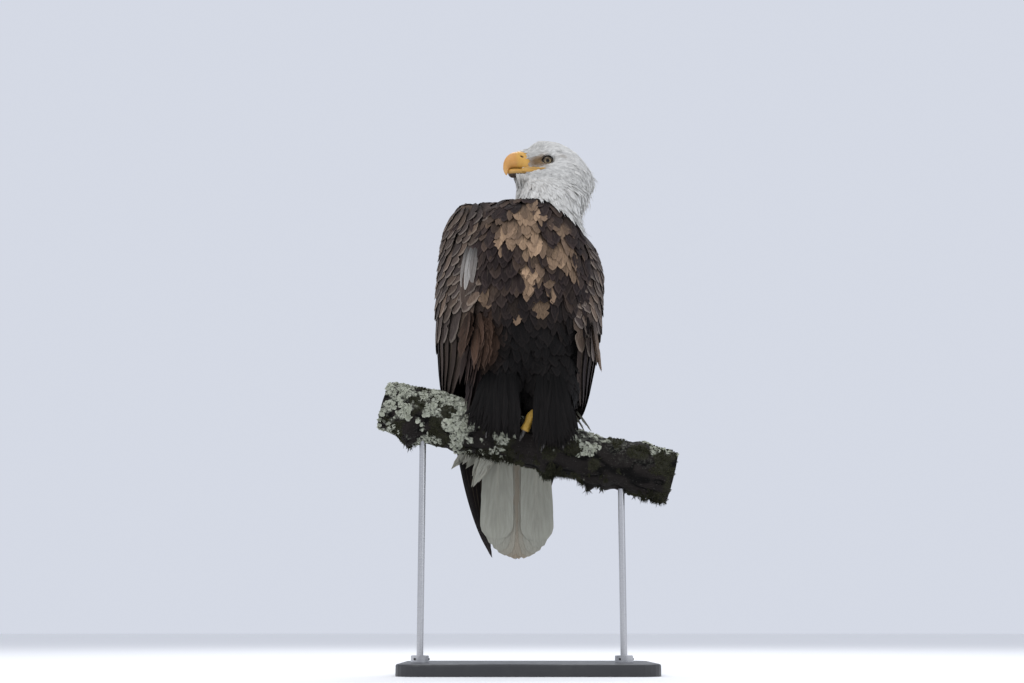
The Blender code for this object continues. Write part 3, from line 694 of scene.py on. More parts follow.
def plumage_material(name, dark=None, white=None, **vane):
    """A feather material. vane holds the inputs of the feather group, by name."""
    n = Look(name, Roughness=0.78, Specular_IOR_Level=0.12, Sheen_Weight=0.02, Sheen_Roughness=0.5)
    inputs = {key.replace("_", " "): value for key, value in vane.items()}
    inputs["Colour"] = markings(n, dark, white)
    feather = n.add("ShaderNodeGroup", inputs, node_tree=vane_group()).outputs
    n.set(Base_Color=feather["Colour"])
    n.bump(feather["Height"], 0.5, 0.0006)
    return n.material


# ---- surfaces the feathers lie on ----

# where the coat lies closer than the solids: centre, radius, shift
DENTS = (
    ((0.118, -0.02, 0.806), 0.040, (-0.024, 0.0, 0.002)),
    ((0.142, -0.01, 0.765), 0.040, (-0.007, 0.0, 0.000)),
)
FLESH = ("head", "neck", "trunk", "wing_left", "wing_right", "thigh_left", "thigh_right")


class Surface:
    """A triangle surface that gives the nearest place and a smooth normal there."""

    def __init__(self, mesh):
        mesh.calc_loop_triangles()
        self.points = read(mesh.vertices, "co")
        self.tris = read(mesh.loop_triangles, "vertices", kind=np.int32)
        self.normals = read(mesh.vertex_normals, "vector")
        self.face_normals = unit(self.normals[self.tris].sum(axis=1))
        self.tree = BVHTree.FromPolygons(self.points.tolist(), self.tris.tolist())

    def nearest(self, points):
        found = [self.tree.find_nearest(Vector(p)) for p in points.tolist()]
        return np.array([tuple(f[0]) for f in found]), self.face_normals[[f[2] for f in found]]

    def scatter(self, rng, tries, wanted, spacing):
        """Places on the surface where wanted(points, normals) is true, no two closer than
        spacing(points)."""
        corners = self.points[self.tris]
        area = np.linalg.norm(np.cross(corners[:, 1] - corners[:, 0], corners[:, 2] - corners[:, 0]), axis=1)
        picks = rng.choice(len(area), tries, p=area / area.sum())
        share = np.sort(rng.random((tries, 2)), axis=1)
        share = np.stack([share[:, 0], share[:, 1] - share[:, 0], 1 - share[:, 1]], axis=1)
        points = np.einsum("ij,ijk->ik", share, corners[picks])
        normals = self.face_normals[picks]
        keep = wanted(points, normals)
        points, normals = points[keep], normals[keep]
        gaps = np.broadcast_to(spacing(points), len(points))
        cell = float(gaps.max())
        grid, kept = {}, []
        around = list(itertools.product((-1, 0, 1), repeat=3))
        for i, (p, gap) in enumerate(zip(points.tolist(), gaps.tolist())):
            key = tuple(int(math.floor(c / cell)) for c in p)
            cells = ((key[0] + a, key[1] + b, key[2] + c) for a, b, c in around)
            near = (q for cell_key in cells for q in grid.get(cell_key, ()))
            if all((p[0] - q[0]) ** 2 + (p[1] - q[1]) ** 2 + (p[2] - q[2]) ** 2 > gap * gap for q in near):
                grid.setdefault(key, []).append(p)
                kept.append(i)
        return points[kept], normals[kept]


def flesh_mesh(voxel, swell=0.0008):
    """All flesh solids as one closed surface without seams."""
    points, tris, count = [], [], 0
    for name in FLESH:
        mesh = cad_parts[name].data.copy()
        with editing(mesh) as bm:
            bmesh.ops.remove_doubles(bm, verts=bm.verts, dist=1e-6)
            bm.normal_update()
            points.append(np.array([v.co + swell * v.normal for v in bm.verts]))
            bmesh.ops.triangulate(bm, faces=bm.faces)
            bm.verts.index_update()
            tris.append(np.array([[v.index for v in f.verts] for f in bm.faces]) + count)
        count += len(points[-1])
        bpy.data.meshes.remove(mesh)
    joined = mesh_from_arrays("flesh", np.vstack(points), [np.vstack(tris)])
    remesh = {"mode": "VOXEL", "voxel_size": voxel, "use_smooth_shade": True}
    return largest_body(modified(joined, ("REMESH", remesh), ("SMOOTH", {"factor": 0.5, "iterations": 5})))


def largest_body(mesh):
    """The mesh without the small bodies inside it."""
    with editing(mesh) as bm:
        seen, bodies = set(), []
        for start in bm.verts:
            if start in seen:
                continue
            body, queue = [], [start]
            seen.add(start)
            while queue:
                vert = queue.pop()
                body.append(vert)
                others = [edge.other_vert(vert) for edge in vert.link_edges]
                queue += [other for other in others if other not in seen]
                seen.update(others)
            bodies.append(body)
        bodies.sort(key=len)
        for body in bodies[:-1]:
            bmesh.ops.delete(bm, geom=body, context="VERTS")
    return mesh


def dented(points):
    for centre, radius, shift in DENTS:
        away = np.linalg.norm(points - centre, axis=-1, keepdims=True)
        points = points + np.exp(-((away / radius) ** 2)) * shift
    return points


@functools.cache
def flesh():
    mesh = flesh_mesh(FLESH_VOXEL)
    mesh.vertices.foreach_set("co", dented(read(mesh.vertices, "co")).ravel())
    mesh.update()
    return Surface(mesh)


@functools.cache
def node_surface(name):
    return Surface(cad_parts[name].data.copy())


def coat_depth(points):
    """How deep the skin lies under the feather tips."""
    forward, _, up = HEAD.local(points).T
    face = smoothstep(-0.075, 0.02, forward) * smoothstep(-0.12, -0.06, up)
    on_head = smoothstep(0.83, 0.88, points[:, 2])
    depth = 0.011 - on_head * 0.0055
    return depth * (1 - face * on_head) + 0.0024 * face * on_head


def white_edge(points):
    """Height over the line where the tips of the white hackles end."""
    x, y, z = points.T
    behind = smoothstep(-0.03, 0.05, y)
    return z - WHITE_ROWS.at(x)[:, 0] * (1 - behind) - WHITE_EDGE_BEHIND * behind


def masks(points, white=None):
    """The markings at these places, and the shade painted behind the eye and on the underside, each from 0 to
    1.
    """
    x, y, z = points.T
    forward, left, up = HEAD.local(points).T
    front = smoothstep(-0.02, -0.06, y)
    worn = np.max([strength * blob(x, z, patch) for *patch, strength in WORN_PATCHES], axis=0)
    # the patch behind the eye is painted shade, in the lore's colour
    lore = np.maximum(blob(forward, up, LORE, 1.7), 0.35 * blob(forward, up, BEHIND_EYE, 1))
    if white is None:
        white = smoothstep(0.000, 0.010, white_edge(points))
    return {
        "white": np.broadcast_to(white, len(points)),
        "worn": worn * front,
        "rust": blob(x, z, RUST_PATCH) * front,
        # darker down the front towards the belly: painted shade of the underside
        "deep": smoothstep(0.70, 0.56, z) * smoothstep(0.02, -0.03, y),
        "lore": lore * smoothstep(0.008, 0.02, np.abs(left)) * smoothstep(0.86, 0.88, z),
    }


# ---- feathers ----


def feather_shares(rings):
    """Where a feather's rings lie, as shares of its length. Its ends are drawn to points past them."""
    return np.linspace(0.03, 0.97, rings)


def feather_outline(rings, widest, tip):
    """Half width at each ring, from 0 to 1. A small tip power is round, a large one pointed."""
    along = feather_shares(rings)
    rise = np.sin(0.5 * math.pi * np.clip(along / widest, 0, 1)) ** 0.7
    fall = np.cos(0.5 * math.pi * np.clip((along - widest) / (1 - widest), 0, 1)) ** tip
    return np.where(along < widest, 0.25 + 0.75 * rise, fall)


class Coat(Gathered):
    """Feathers gathered into one mesh. Each is a closed vane with a lens-shaped section."""

    def __init__(self, unwrap, rng):
        super().__init__()
        self.unwrap, self.rng = unwrap, rng

    def widths(self, path, size, low, high, widest, tip):
        """Half widths of feathers of about one size, each drawn between low and high shares of it."""
        drawn = size * self.rng.uniform(low, high, (len(path), 1))
        return drawn * feather_outline(path.shape[1], widest, tip)

    def add(self, path, normals, widths, cup=0.25, thickness=0.0003, section=6, ragged=0.0,
            roll=0.0, twist=0.0, tone=None, **marks):
        """Adds feathers. path and normals are (feathers, rings, 3), widths (feathers, rings). Each is
        rolled about its shaft by roll, or by chance, and then mostly by less than twist."""
        rng = self.rng
        total, rings = path.shape[:2]
        heading = unit(np.gradient(path, axis=1))
        across = unit(np.cross(heading, normals))
        above = np.cross(across, heading)
        if twist:
            roll = rng.normal(0, twist, total)
        roll = np.broadcast_to(roll, total)[:, None, None]
        across, above = (
            np.cos(roll) * across + np.sin(roll) * above,
            np.cos(roll) * above - np.sin(roll) * across,
        )
        top = np.linspace(-1, 1, section // 2 + 1)
        place = np.concatenate([top, top[-2:0:-1]])
        lift = np.concatenate([1 - top**2, -0.3 * (1 - top[-2:0:-1] ** 2)])
        ragged = np.broadcast_to(ragged, total)[:, None, None]
        sides = widths[:, :, None] * (1 + ragged * rng.normal(size=(total, rings, 1)) * np.ones(section))
        notch = rng.random((total, rings, 2)) < 0.9 * ragged
        cut = 1 - 0.5 * notch * (np.arange(rings) > 0.5 * rings)[None, :, None]
        sides = sides * np.where(place < 0, cut[:, :, :1], cut[:, :, 1:])
        side = (place * sides)[..., None]
        rise = (thickness * lift - cup * place**2 * sides)[..., None]
        body = path[:, :, None] + side * across[:, :, None] + rise * above[:, :, None]
        reach = np.linalg.norm(path[:, -1] - path[:, -2], axis=1, keepdims=True)
        first = path[:, 0] - 0.2 * reach * heading[:, 0]
        last = path[:, -1] + 0.6 * reach * heading[:, -1]
        points = np.concatenate([body.reshape(total, -1, 3), first[:, None], last[:, None]], axis=1)
        each = rings * section + 2
        _, quads, tris = loft(body[0], first[0], last[0])
        shift = each * np.arange(total)[:, None, None]
        quads = (quads[:, [0, 3, 2, 1]] + shift).reshape(-1, 4)
        tris = (tris[:, [1, 0, 2]] + shift).reshape(-1, 3)
        along = np.concatenate([np.repeat(feather_shares(rings), section), (0.0, 1.0)])
        over = np.concatenate([np.tile(place, rings), (0.0, 0.0)])
        vane = np.stack([over, along, np.zeros(each)], axis=-1)
        tone = rng.random(total) if tone is None else np.broadcast_to(tone, total)
        values = {"vane": np.tile(vane, (total, 1)), "tone": np.repeat(tone, each)}
        for key in MARKS:
            values[key] = np.repeat(np.broadcast_to(marks.get(key, 0.0), total), each)
        patch = np.stack([over / 2, along - 0.5], axis=-1)
        self.uv.append((self.unwrap(path[:, 0])[:, None] + PATCH_SIZE * patch).reshape(-1, 2))
        self.gather(points.reshape(-1, 3), quads, tris, values)

    def piece(self, name, material, slot, replaces=()):
        mesh = self.mesh(name)
        mesh.set_sharp_from_angle(angle=SHARP_BARB)
        return add_piece(name, mesh, material, replaces)


def unwrap_body(points):
    """The skin unrolled round the bird's upright axis."""
    forward, left, up = BIRD.local(points).T
    turn = np.arctan2(left, forward + 0.02) / (2 * math.pi)
    return np.stack([0.5 + 0.96 * turn, np.clip(0.3 + 1.2 * up, 0.01, 0.99)], axis=1)


def unwrap_head(points):
    """The head's skin unrolled round its long axis."""
    forward, left, up = HEAD.local(points).T
    turn = np.arctan2(left, up + 0.02) / (2 * math.pi)
    return np.stack([0.5 + 0.96 * turn, np.clip(0.75 + 5 * forward, 0.01, 0.99)], axis=1)


def lay(surface, roots, heading, lengths, rings, sink, lift, steer=None):
    """Paths over the surface from the roots: each starts sunk under it and ends lifted off it."""
    step = (lengths / (rings - 1))[:, None]
    at = roots.copy()
    path, normals = [], []
    for _ in range(rings):
        place, normal = surface.nearest(at)
        heading = unit(heading - dot(heading, normal) * normal)
        path.append(place)
        normals.append(normal)
        at = place + step * heading
        if steer is not None:
            heading = unit(heading + 0.25 * steer(place))
    path, normals = np.stack(path, axis=1), np.stack(normals, axis=1)
    share = np.linspace(0, 1, rings)[None, :, None]
    sink, lift = (np.broadcast_to(v, len(roots))[:, None, None] for v in (sink, lift))
    path = path + normals * (-sink * (1 - share) ** 1.6 + lift * share**1.5)
    return path, normals


def turned(vectors, normals, angles):
    """The vectors turned about the normals."""
    angles = angles[:, None]
    return np.cos(angles) * vectors + np.sin(angles) * np.cross(normals, vectors)


def head_lie(points):
    """Which way feathers point: away from the bill on the head, and down on all else."""
    forward, _, up = HEAD.local(points).T[..., None]
    from_bill = unit(points - HEAD.world(0.046, 0.0, -0.012))
    behind, low = smoothstep(0.0, -0.07, forward), smoothstep(-0.035, -0.075, up)
    fall = np.maximum(0.75 * behind, low)
    spread = from_bill * (1, 1, 0)
    return unit((1 - fall) * from_bill + fall * (DOWN + 0.35 * spread))


def body_lie(points):
    local = BIRD.local(points)
    out = unit((local * (1, 1, 0)) @ BIRD.axes)
    return unit(DOWN + 0.22 * out)


def face_clear(path):
    """True for each feather that stays off both eyes and the corners of the mouth."""
    local = HEAD.local(path)
    f, left, up = np.moveaxis(local, -1, 0)
    off_eye = ((f - 0.0014) / 0.0088) ** 2 + ((up + 0.0082) / 0.0064) ** 2 > 1
    forward, middle, tall = np.transpose(MOUTH_CORNER)[[0, 2, 3], ::-1]
    off_mouth = np.abs(up - np.interp(f, forward, middle)) > 0.78 * np.interp(f, forward, tall, left=0.0)
    return ((off_eye & off_mouth) | (np.abs(left) < 0.012)).all(axis=1)


# ---- what a user may change ----


def colour_setting(name, description, default):
    return FloatVectorProperty(name=name, description=description, default=default, subtype="COLOR")


class EaglePlumage(bpy.types.PropertyGroup):
    white: colour_setting("White", "Head and tail feathers", (0.623, 0.615, 0.588))
    # the tail's white is painted greyer than the head's: painted shade under the branch
    tail: colour_setting("Tail", "Tail feathers", (0.330, 0.328, 0.278))
    breast: colour_setting("Breast", "Upper breast", (0.019, 0.0128, 0.0125))
    # the belly's colour is darker than the breast's: painted shade of the underside
    belly: colour_setting("Belly", "Belly and legs", (0.0048, 0.0042, 0.0042))
    wing: colour_setting("Wing", "Wing coverts and back", (0.052, 0.040, 0.036))
    flight: colour_setting("Flight", "Primaries and secondaries", (0.024, 0.018, 0.018))
    worn: colour_setting("Worn", "Sun-bleached breast feathers", (0.33, 0.222, 0.140))
    rust: colour_setting("Rust", "Reddish patch on the flank", (0.062, 0.035, 0.023))
    # the lore's colour is also painted as shade on the throat and behind the eye
    lore: colour_setting("Lore", "Thin feathers before the eye", (0.190, 0.120, 0.058))
    fullness: FloatProperty(
        name="Fullness", description="How closely the feathers stand", default=1.0, min=0.3, max=1.5
    )


class EagleFace(bpy.types.PropertyGroup):
    horn: colour_setting("Bill", "Horn of the bill", (0.60, 0.29, 0.070))
    cere: colour_setting("Cere", "Waxy skin at the bill's root", (0.56, 0.29, 0.045))
    iris: colour_setting("Iris", "Iris of the eye", (0.28, 0.222, 0.138))
    pupil: FloatProperty(
        name="Pupil", description="Radius of the pupil", default=0.0030, min=0.001, max=0.006, unit="LENGTH"
    )


class EaglePerch(bpy.types.PropertyGroup):
    bark: colour_setting("Bark", "Bare bark", (0.014, 0.0115, 0.0105))
    lichen: colour_setting("Lichen", "Crust of lichen", (0.50, 0.505, 0.44))
    moss: colour_setting("Moss", "Moss", (0.026, 0.026, 0.015))
    moss_density: FloatProperty(
        name="Moss Density", description="Moss tufts on a square metre", default=70000.0, min=0
    )
    seed: IntProperty(name="Seed", description="Where moss and lichen grow", default=SEED, min=0)


class EagleStand(bpy.types.PropertyGroup):
    paint: colour_setting("Base", "Paint of the base", (0.030, 0.030, 0.032))
    steel: colour_setting("Steel", "Rods and collars", (0.50, 0.50, 0.51))
    screws: IntProperty(name="Screws", description="Screws in each collar", default=3, min=1, max=8)


# ---- skin ----

# the section of an eyelid: share of the way out from the opening, and how far off the eyeball
LID = (
    (0.0, 0.0006), (0.12, 0.0013), (0.35, 0.0015), (0.7, 0.0008), (1.0, -0.0015), (0.9, -0.0035),
    (0.3, -0.0025), (0.0, -0.0012),
)


def lid_shell(side, sign):
    """A rim of bare skin round the eye opening, drawn tight over the eyeball."""
    eye = HEAD.local(box_centre(f"eye_{side}"))
    turn = circle(64)
    rings = []
    for out, above in LID:
        reach_f = 0.0071 + 0.0026 * out + 0.0012 * np.abs(np.cos(turn)) ** 6
        reach_u = np.where(np.sin(turn) > 0, 0.0044, 0.0057) + 0.0016 * out
        forward = 0.0014 + reach_f * np.cos(turn)
        up = -0.0036 + reach_u * np.sin(turn) - 0.08 * forward
        room = np.maximum((EYE_RADIUS + above) ** 2 - forward**2 - up**2, 0.0)
        left = np.maximum(np.sqrt(room), 0.0016) + above
        rings.append(HEAD.world(eye[0] + forward, eye[1] + sign * left, eye[2] + up))
    return closed_ring(np.array(rings))


def make_skin():
    surface = flesh()
    points, normals = surface.points, surface.normals
    depth = coat_depth(points)
    inward = [surface.tree.ray_cast(Vector(p - 0.0005 * n), Vector(-n)) for p, n in zip(points, normals)]
    room = np.array([hit[3] if hit[3] is not None else 1.0 for hit in inward])
    depth = np.minimum(depth, 0.35 * room)
    points = points - depth[:, None] * normals
    rims = [lid_shell(side, sign) for side, sign in SIDES]
    lids = np.vstack([rim for rim, _ in rims])
    lid_quads = np.vstack([quads + len(points) + i * len(rim) for i, (rim, quads) in enumerate(rims)])
    body = mesh_from_arrays("body", points, [surface.tris])
    body = modified(body, ("SMOOTH", {"factor": 0.5, "iterations": 4}))
    smooth = read(body.vertices, "co", kind=np.float32)
    every = np.vstack([smooth, lids])
    values = masks(every)
    values["bare"] = np.concatenate([np.zeros(len(points)), np.ones(len(lids))])
    values["vane"] = np.tile((0.5, 0.7, 0.0), (len(every), 1))
    # over the lids the tone runs from pale below the eye to dark above it: painted shadow of the brow on the
    # upper lid
    painted_brow_shadow = smoothstep(-0.0115, -0.0075, HEAD.local(lids)[:, 2])
    values["tone"] = np.concatenate([0.5 + 0.5 * noise(smooth * 90), painted_brow_shadow])
    mesh = outward(mesh_from_arrays("skin", every, [surface.tris, lid_quads], values=values))
    n = Look("skin", Roughness=0.8)
    lid_colour = n.mix(n.noise(n.place(), 900.0), (0.045, 0.036, 0.030), (0.12, 0.095, 0.072))
    # pale grey where the tone is low, below the eye; the dark lid colour above it is painted shadow of the
    # brow
    lid_colour = n.mix(n.step(n.attribute("tone"), 0.3, 0.7), (0.36, 0.34, 0.31), lid_colour)
    n.set(Base_Color=n.mix(n.attribute("bare"), markings(n), lid_colour))
    n.bump(n.noise(n.place(), 500.0), 0.5, 0.0006)
    add_piece("skin", mesh, n.material, FLESH)


# ---- head and neck ----


def straight(roots, directions, lengths, rings, sag=0.0):
    """Free-hanging paths from the roots, each bending downwards by sag of its length."""
    share = np.linspace(0, 1, rings)[None, :, None]
    reach = np.broadcast_to(lengths, len(roots))[:, None, None]
    return roots[:, None] + reach * (share * directions[:, None] + sag * share**2 * DOWN)


def make_head_coat():
    rng = np.random.default_rng(SEED)
    full = bpy.context.scene.eagle_plumage.fullness
    surface = flesh()
    material = plumage_material(
        "white_feathers", Fringe=0.2, Fringe_Colour=(0.06, 0.06, 0.06), Shaft=0.08, Barbs=40.0,
        Shaft_Colour=(0.6, 0.6, 0.6), Root_Shade=0.0, Tone_Spread=0.30, Streaks=0.5,
    )

    def on_bill(forward, left, up):
        return (np.abs(left) < 0.0185) & (forward > 0.031) & (up < 0.012) & (up > -0.0300)

    def on_head(points, normals):
        forward, left, up = HEAD.local(points).T
        under = (up < -0.047) | ((forward < -0.03) & (up < -0.02))
        return ~on_bill(forward, left, up) & ~under & (points[:, 2] > 0.85)

    def face_gap(points):
        return (0.0017 + 0.0010 * smoothstep(0.03, -0.06, HEAD.local(points)[:, 0])) / full

    roots, normals = surface.scatter(rng, 150000, on_head, face_gap)
    forward, _, up = HEAD.local(roots).T
    back = smoothstep(0.030, -0.070, forward)
    lengths = (0.0068 + 0.0160 * back) * rng.uniform(0.85, 1.25, len(roots))
    heading = turned(head_lie(roots), normals, rng.normal(0, 0.05, len(roots)))
    loose = 0.0016 * back * rng.random(len(roots)) ** 3
    raised = 0.0028 * np.exp(-(((forward - 0.022) / 0.012) ** 2)) * smoothstep(0.006, 0.020, up)
    path, lie = lay(surface, roots, heading, lengths * (1 + 70 * raised), 5, coat_depth(roots) * 0.14,
                    0.0002 + loose + raised, head_lie)
    clear = face_clear(path)
    path, lie, back, roots = path[clear], lie[clear], back[clear], roots[clear]
    coat = Coat(unwrap_head, rng)
    widths = coat.widths(path, (0.0019 + 0.0011 * back)[:, None], 0.7, 1.2, 0.4, 0.9)
    coat.add(path, lie, widths, section=4, thickness=0.0002, ragged=0.04, cup=0.04, twist=0.03,
             **masks(roots, 1.0))
    coat.piece("coat_head", material, "white_plumage")
    coat = Coat(unwrap_head, rng)
    add_face(coat, rng)
    coat.piece("coat_face", material, "white_plumage")

    def on_neck(points, normals):
        forward, left, up = HEAD.local(points).T
        under = (up < -0.034) | ((forward < -0.025) & (up < -0.010))
        return under & (white_edge(points) > 0.016) & ~on_bill(forward, left, up)

    roots, normals = surface.scatter(rng, 120000, on_neck, lambda p: 0.0029 / full)
    forward, _, up = HEAD.local(roots).T
    down = smoothstep(-0.035, -0.085, up)
    lengths = (0.017 + 0.020 * down) * rng.uniform(0.8, 1.3, len(roots))
    heading = turned(head_lie(roots), normals, rng.normal(0, 0.09, len(roots)))
    loose = rng.random(len(roots)) ** 5 * smoothstep(0.0, -0.05, forward)
    path, lie = lay(surface, roots, heading, lengths, 8, coat_depth(roots) * 0.36,
                    0.0008 + 0.002 * down + 0.010 * loose, head_lie)
    coat = Coat(unwrap_head, rng)
    widths = coat.widths(path, (0.0020 + 0.0013 * down)[:, None], 0.6, 1.25, 0.42, 1.15)
    marks = masks(roots, 1.0)
    # the throat under the bill is painted darker at random in the lore's colour: painted shade under the bill
    throat = smoothstep(-0.060, -0.045, up) * smoothstep(0.0, 0.02, forward)
    marks["lore"] = np.maximum(marks["lore"], 0.2 * throat * rng.random(len(roots)))
    coat.add(path, lie, widths, section=4, ragged=0.06, cup=0.16, twist=0.15, **marks)
    coat.piece("coat_neck", material, "white_plumage")


def add_face(coat, rng):
    """The small feathers of brows, chin, jaw and forehead, and those that lie on the cere."""
    forward_way, left_way, up_way = HEAD.axes

    def add(roots, way, spread, lengths, widths, facing, sag=0.0, lore=0.0, painted_shade=0.0):
        way = unit(way + rng.normal(0, spread, (len(roots), 3)))
        path = straight(roots, way, rng.uniform(*lengths, len(roots)), 5, sag)
        widths = coat.widths(path, 1, *widths, 0.4, 0.9)
        # feathers under the bill are darkened at random in the lore's colour, as painted shade
        if painted_shade:
            lore = painted_shade * rng.random(len(roots))
        facing = np.broadcast_to(facing, roots.shape)[:, None]
        coat.add(path, facing, widths, section=4, thickness=0.0002, ragged=0.05, cup=0.1, white=1.0,
                 lore=lore)

    # the shelf over each eye
    for _, sign in SIDES:
        share = np.sort(rng.random(340))
        left = 0.0160 + 0.0185 * np.sin(0.62 * math.pi * share)
        up = 0.0024 - 0.0018 * share + rng.uniform(0.0, 0.0080, len(share))
        place, normal = flesh().nearest(HEAD.world(0.033 - 0.050 * share, sign * left, up))
        way = -forward_way + 0.46 * sign * left_way - 0.10 * up_way
        facing = unit(0.6 * up_way + normal)
        add(place + 0.0012 * normal, way, 0.06, (0.010, 0.014), (0.0011, 0.0016), facing, 0.05)
    # the chin, painted darker at random as shade under the bill
    count = 700
    roots = HEAD.world(rng.uniform(0.014, 0.052, count), rng.uniform(-0.0125, 0.0125, count),
                       rng.uniform(-0.040, -0.0265, count))
    facing = unit(roots - HEAD.world(0.016, 0.0, -0.03))
    add(roots, DOWN - 0.22 * forward_way, 0.08, (0.010, 0.018), (0.0009, 0.0014), facing, painted_shade=0.3)
    # beside the lower jaw, painted darker at random as shade under the bill
    jaw = np.transpose([(low[0], half) for low, _, half in LOWER_BILL[:4]])
    for _, sign in SIDES:
        forward = rng.uniform(0.016, 0.0550, 320)
        aside = np.interp(forward, *jaw) + 0.0004
        roots = HEAD.world(forward, sign * aside, rng.uniform(-0.0300, -0.0266, 320))
        out = sign * left_way
        way = DOWN - 0.35 * forward_way - 0.10 * out
        add(roots, way, 0.07, (0.008, 0.013), (0.0009, 0.0013), out, painted_shade=0.3)
    # the pointed forehead
    count = 1500
    forward = rng.uniform(0.026, 0.0500, count)
    left = rng.uniform(-1, 1, count) * np.interp(forward, (0.026, 0.040, 0.0500), (0.018, 0.014, 0.006))
    top = np.interp(forward, *np.transpose([high for _, high, _ in CERE])) - 0.002
    beak = HEAD.world(forward, left, 0.002 + top * np.sqrt(1 - (left / 0.0195) ** 2))
    place, normal = flesh().nearest(beak)
    on_beak = (beak[:, 2] > place[:, 2])[:, None]
    away = unit(up_way + 150 * left[:, None] * left_way)
    place, normal = np.where(on_beak, beak, place), np.where(on_beak, away, normal)
    steep = np.interp(forward, (0.026, 0.036, 0.046), (0.25, 0.42, 0.58))[:, None]
    way = steep * unit(up_way + 0.5 * normal) - forward_way
    add(place - 0.0006 * normal, way, 0.035, (0.008, 0.014), (0.0009, 0.0014), normal, 0.12)
    # both sides of the cere, and its top
    cere = node_surface("cere")
    for _, sign in SIDES:
        up = rng.uniform(-0.0110, 0.0160, 460)
        roots, out = cere.nearest(HEAD.world(rng.normal(0.0375, 0.0015, 460), sign * 0.03, up))
        lore = 0.15 + 0.5 * smoothstep(0.004, 0.000, up)
        way = 0.12 * out - forward_way
        add(roots + 0.0011 * out, way, 0.06, (0.006, 0.010), (0.0006, 0.0010), out, 0.03, lore)
    forward = rng.uniform(0.026, 0.0455, 420)
    left = rng.uniform(-0.62, 0.62, 420) * (0.0475 - forward)
    place, normal = cere.nearest(HEAD.world(forward, left, 0.03))
    add(place - 0.0004 * normal, 0.16 * up_way - forward_way, 0.07, (0.005, 0.008), (0.0007, 0.0012), normal)


# ---- breast, back and legs ----

# Loose tufts: root (x, y, z), tip (x, y, z), feathers, half width and depth they spread over, width of
# a feather, material (0 dark, 1 brown, 2 white), worn, rust
TUFTS = (
    ((-0.070, 0.030, 0.425), (-0.124, 0.046, 0.366), 7, 0.016, 0.012, 0.019, 2, 0.0, 0.0),
    ((-0.052, 0.035, 0.420), (-0.099, 0.050, 0.338), 7, 0.012, 0.010, 0.020, 2, 0.0, 0.0),
    ((0.085, -0.030, 0.455), (0.108, -0.045, 0.420), 6, 0.008, 0.010, 0.005, 2, 0.0, 0.0),
    ((-0.088, -0.098, 0.618), (-0.090, -0.110, 0.545), 12, 0.028, 0.006, 0.026, 0, 0.1, 0.9),
    ((-0.082, -0.104, 0.590), (-0.080, -0.112, 0.520), 12, 0.016, 0.005, 0.022, 0, 0.1, 1.0),
    ((0.118, -0.070, 0.610), (0.130, -0.070, 0.530), 9, 0.007, 0.010, 0.018, 1, 0.30, 0.0),
    ((-0.058, -0.005, 0.838), (-0.126, -0.012, 0.812), 40, 0.014, 0.050, 0.025, 1, 0.05, 0.0),
    ((-0.096, -0.074, 0.610), (-0.106, -0.086, 0.505), 16, 0.014, 0.008, 0.022, 0, 0.0, 0.2),
    ((-0.092, -0.066, 0.550), (-0.103, -0.078, 0.445), 16, 0.014, 0.008, 0.022, 0, 0.0, 0.0),
)


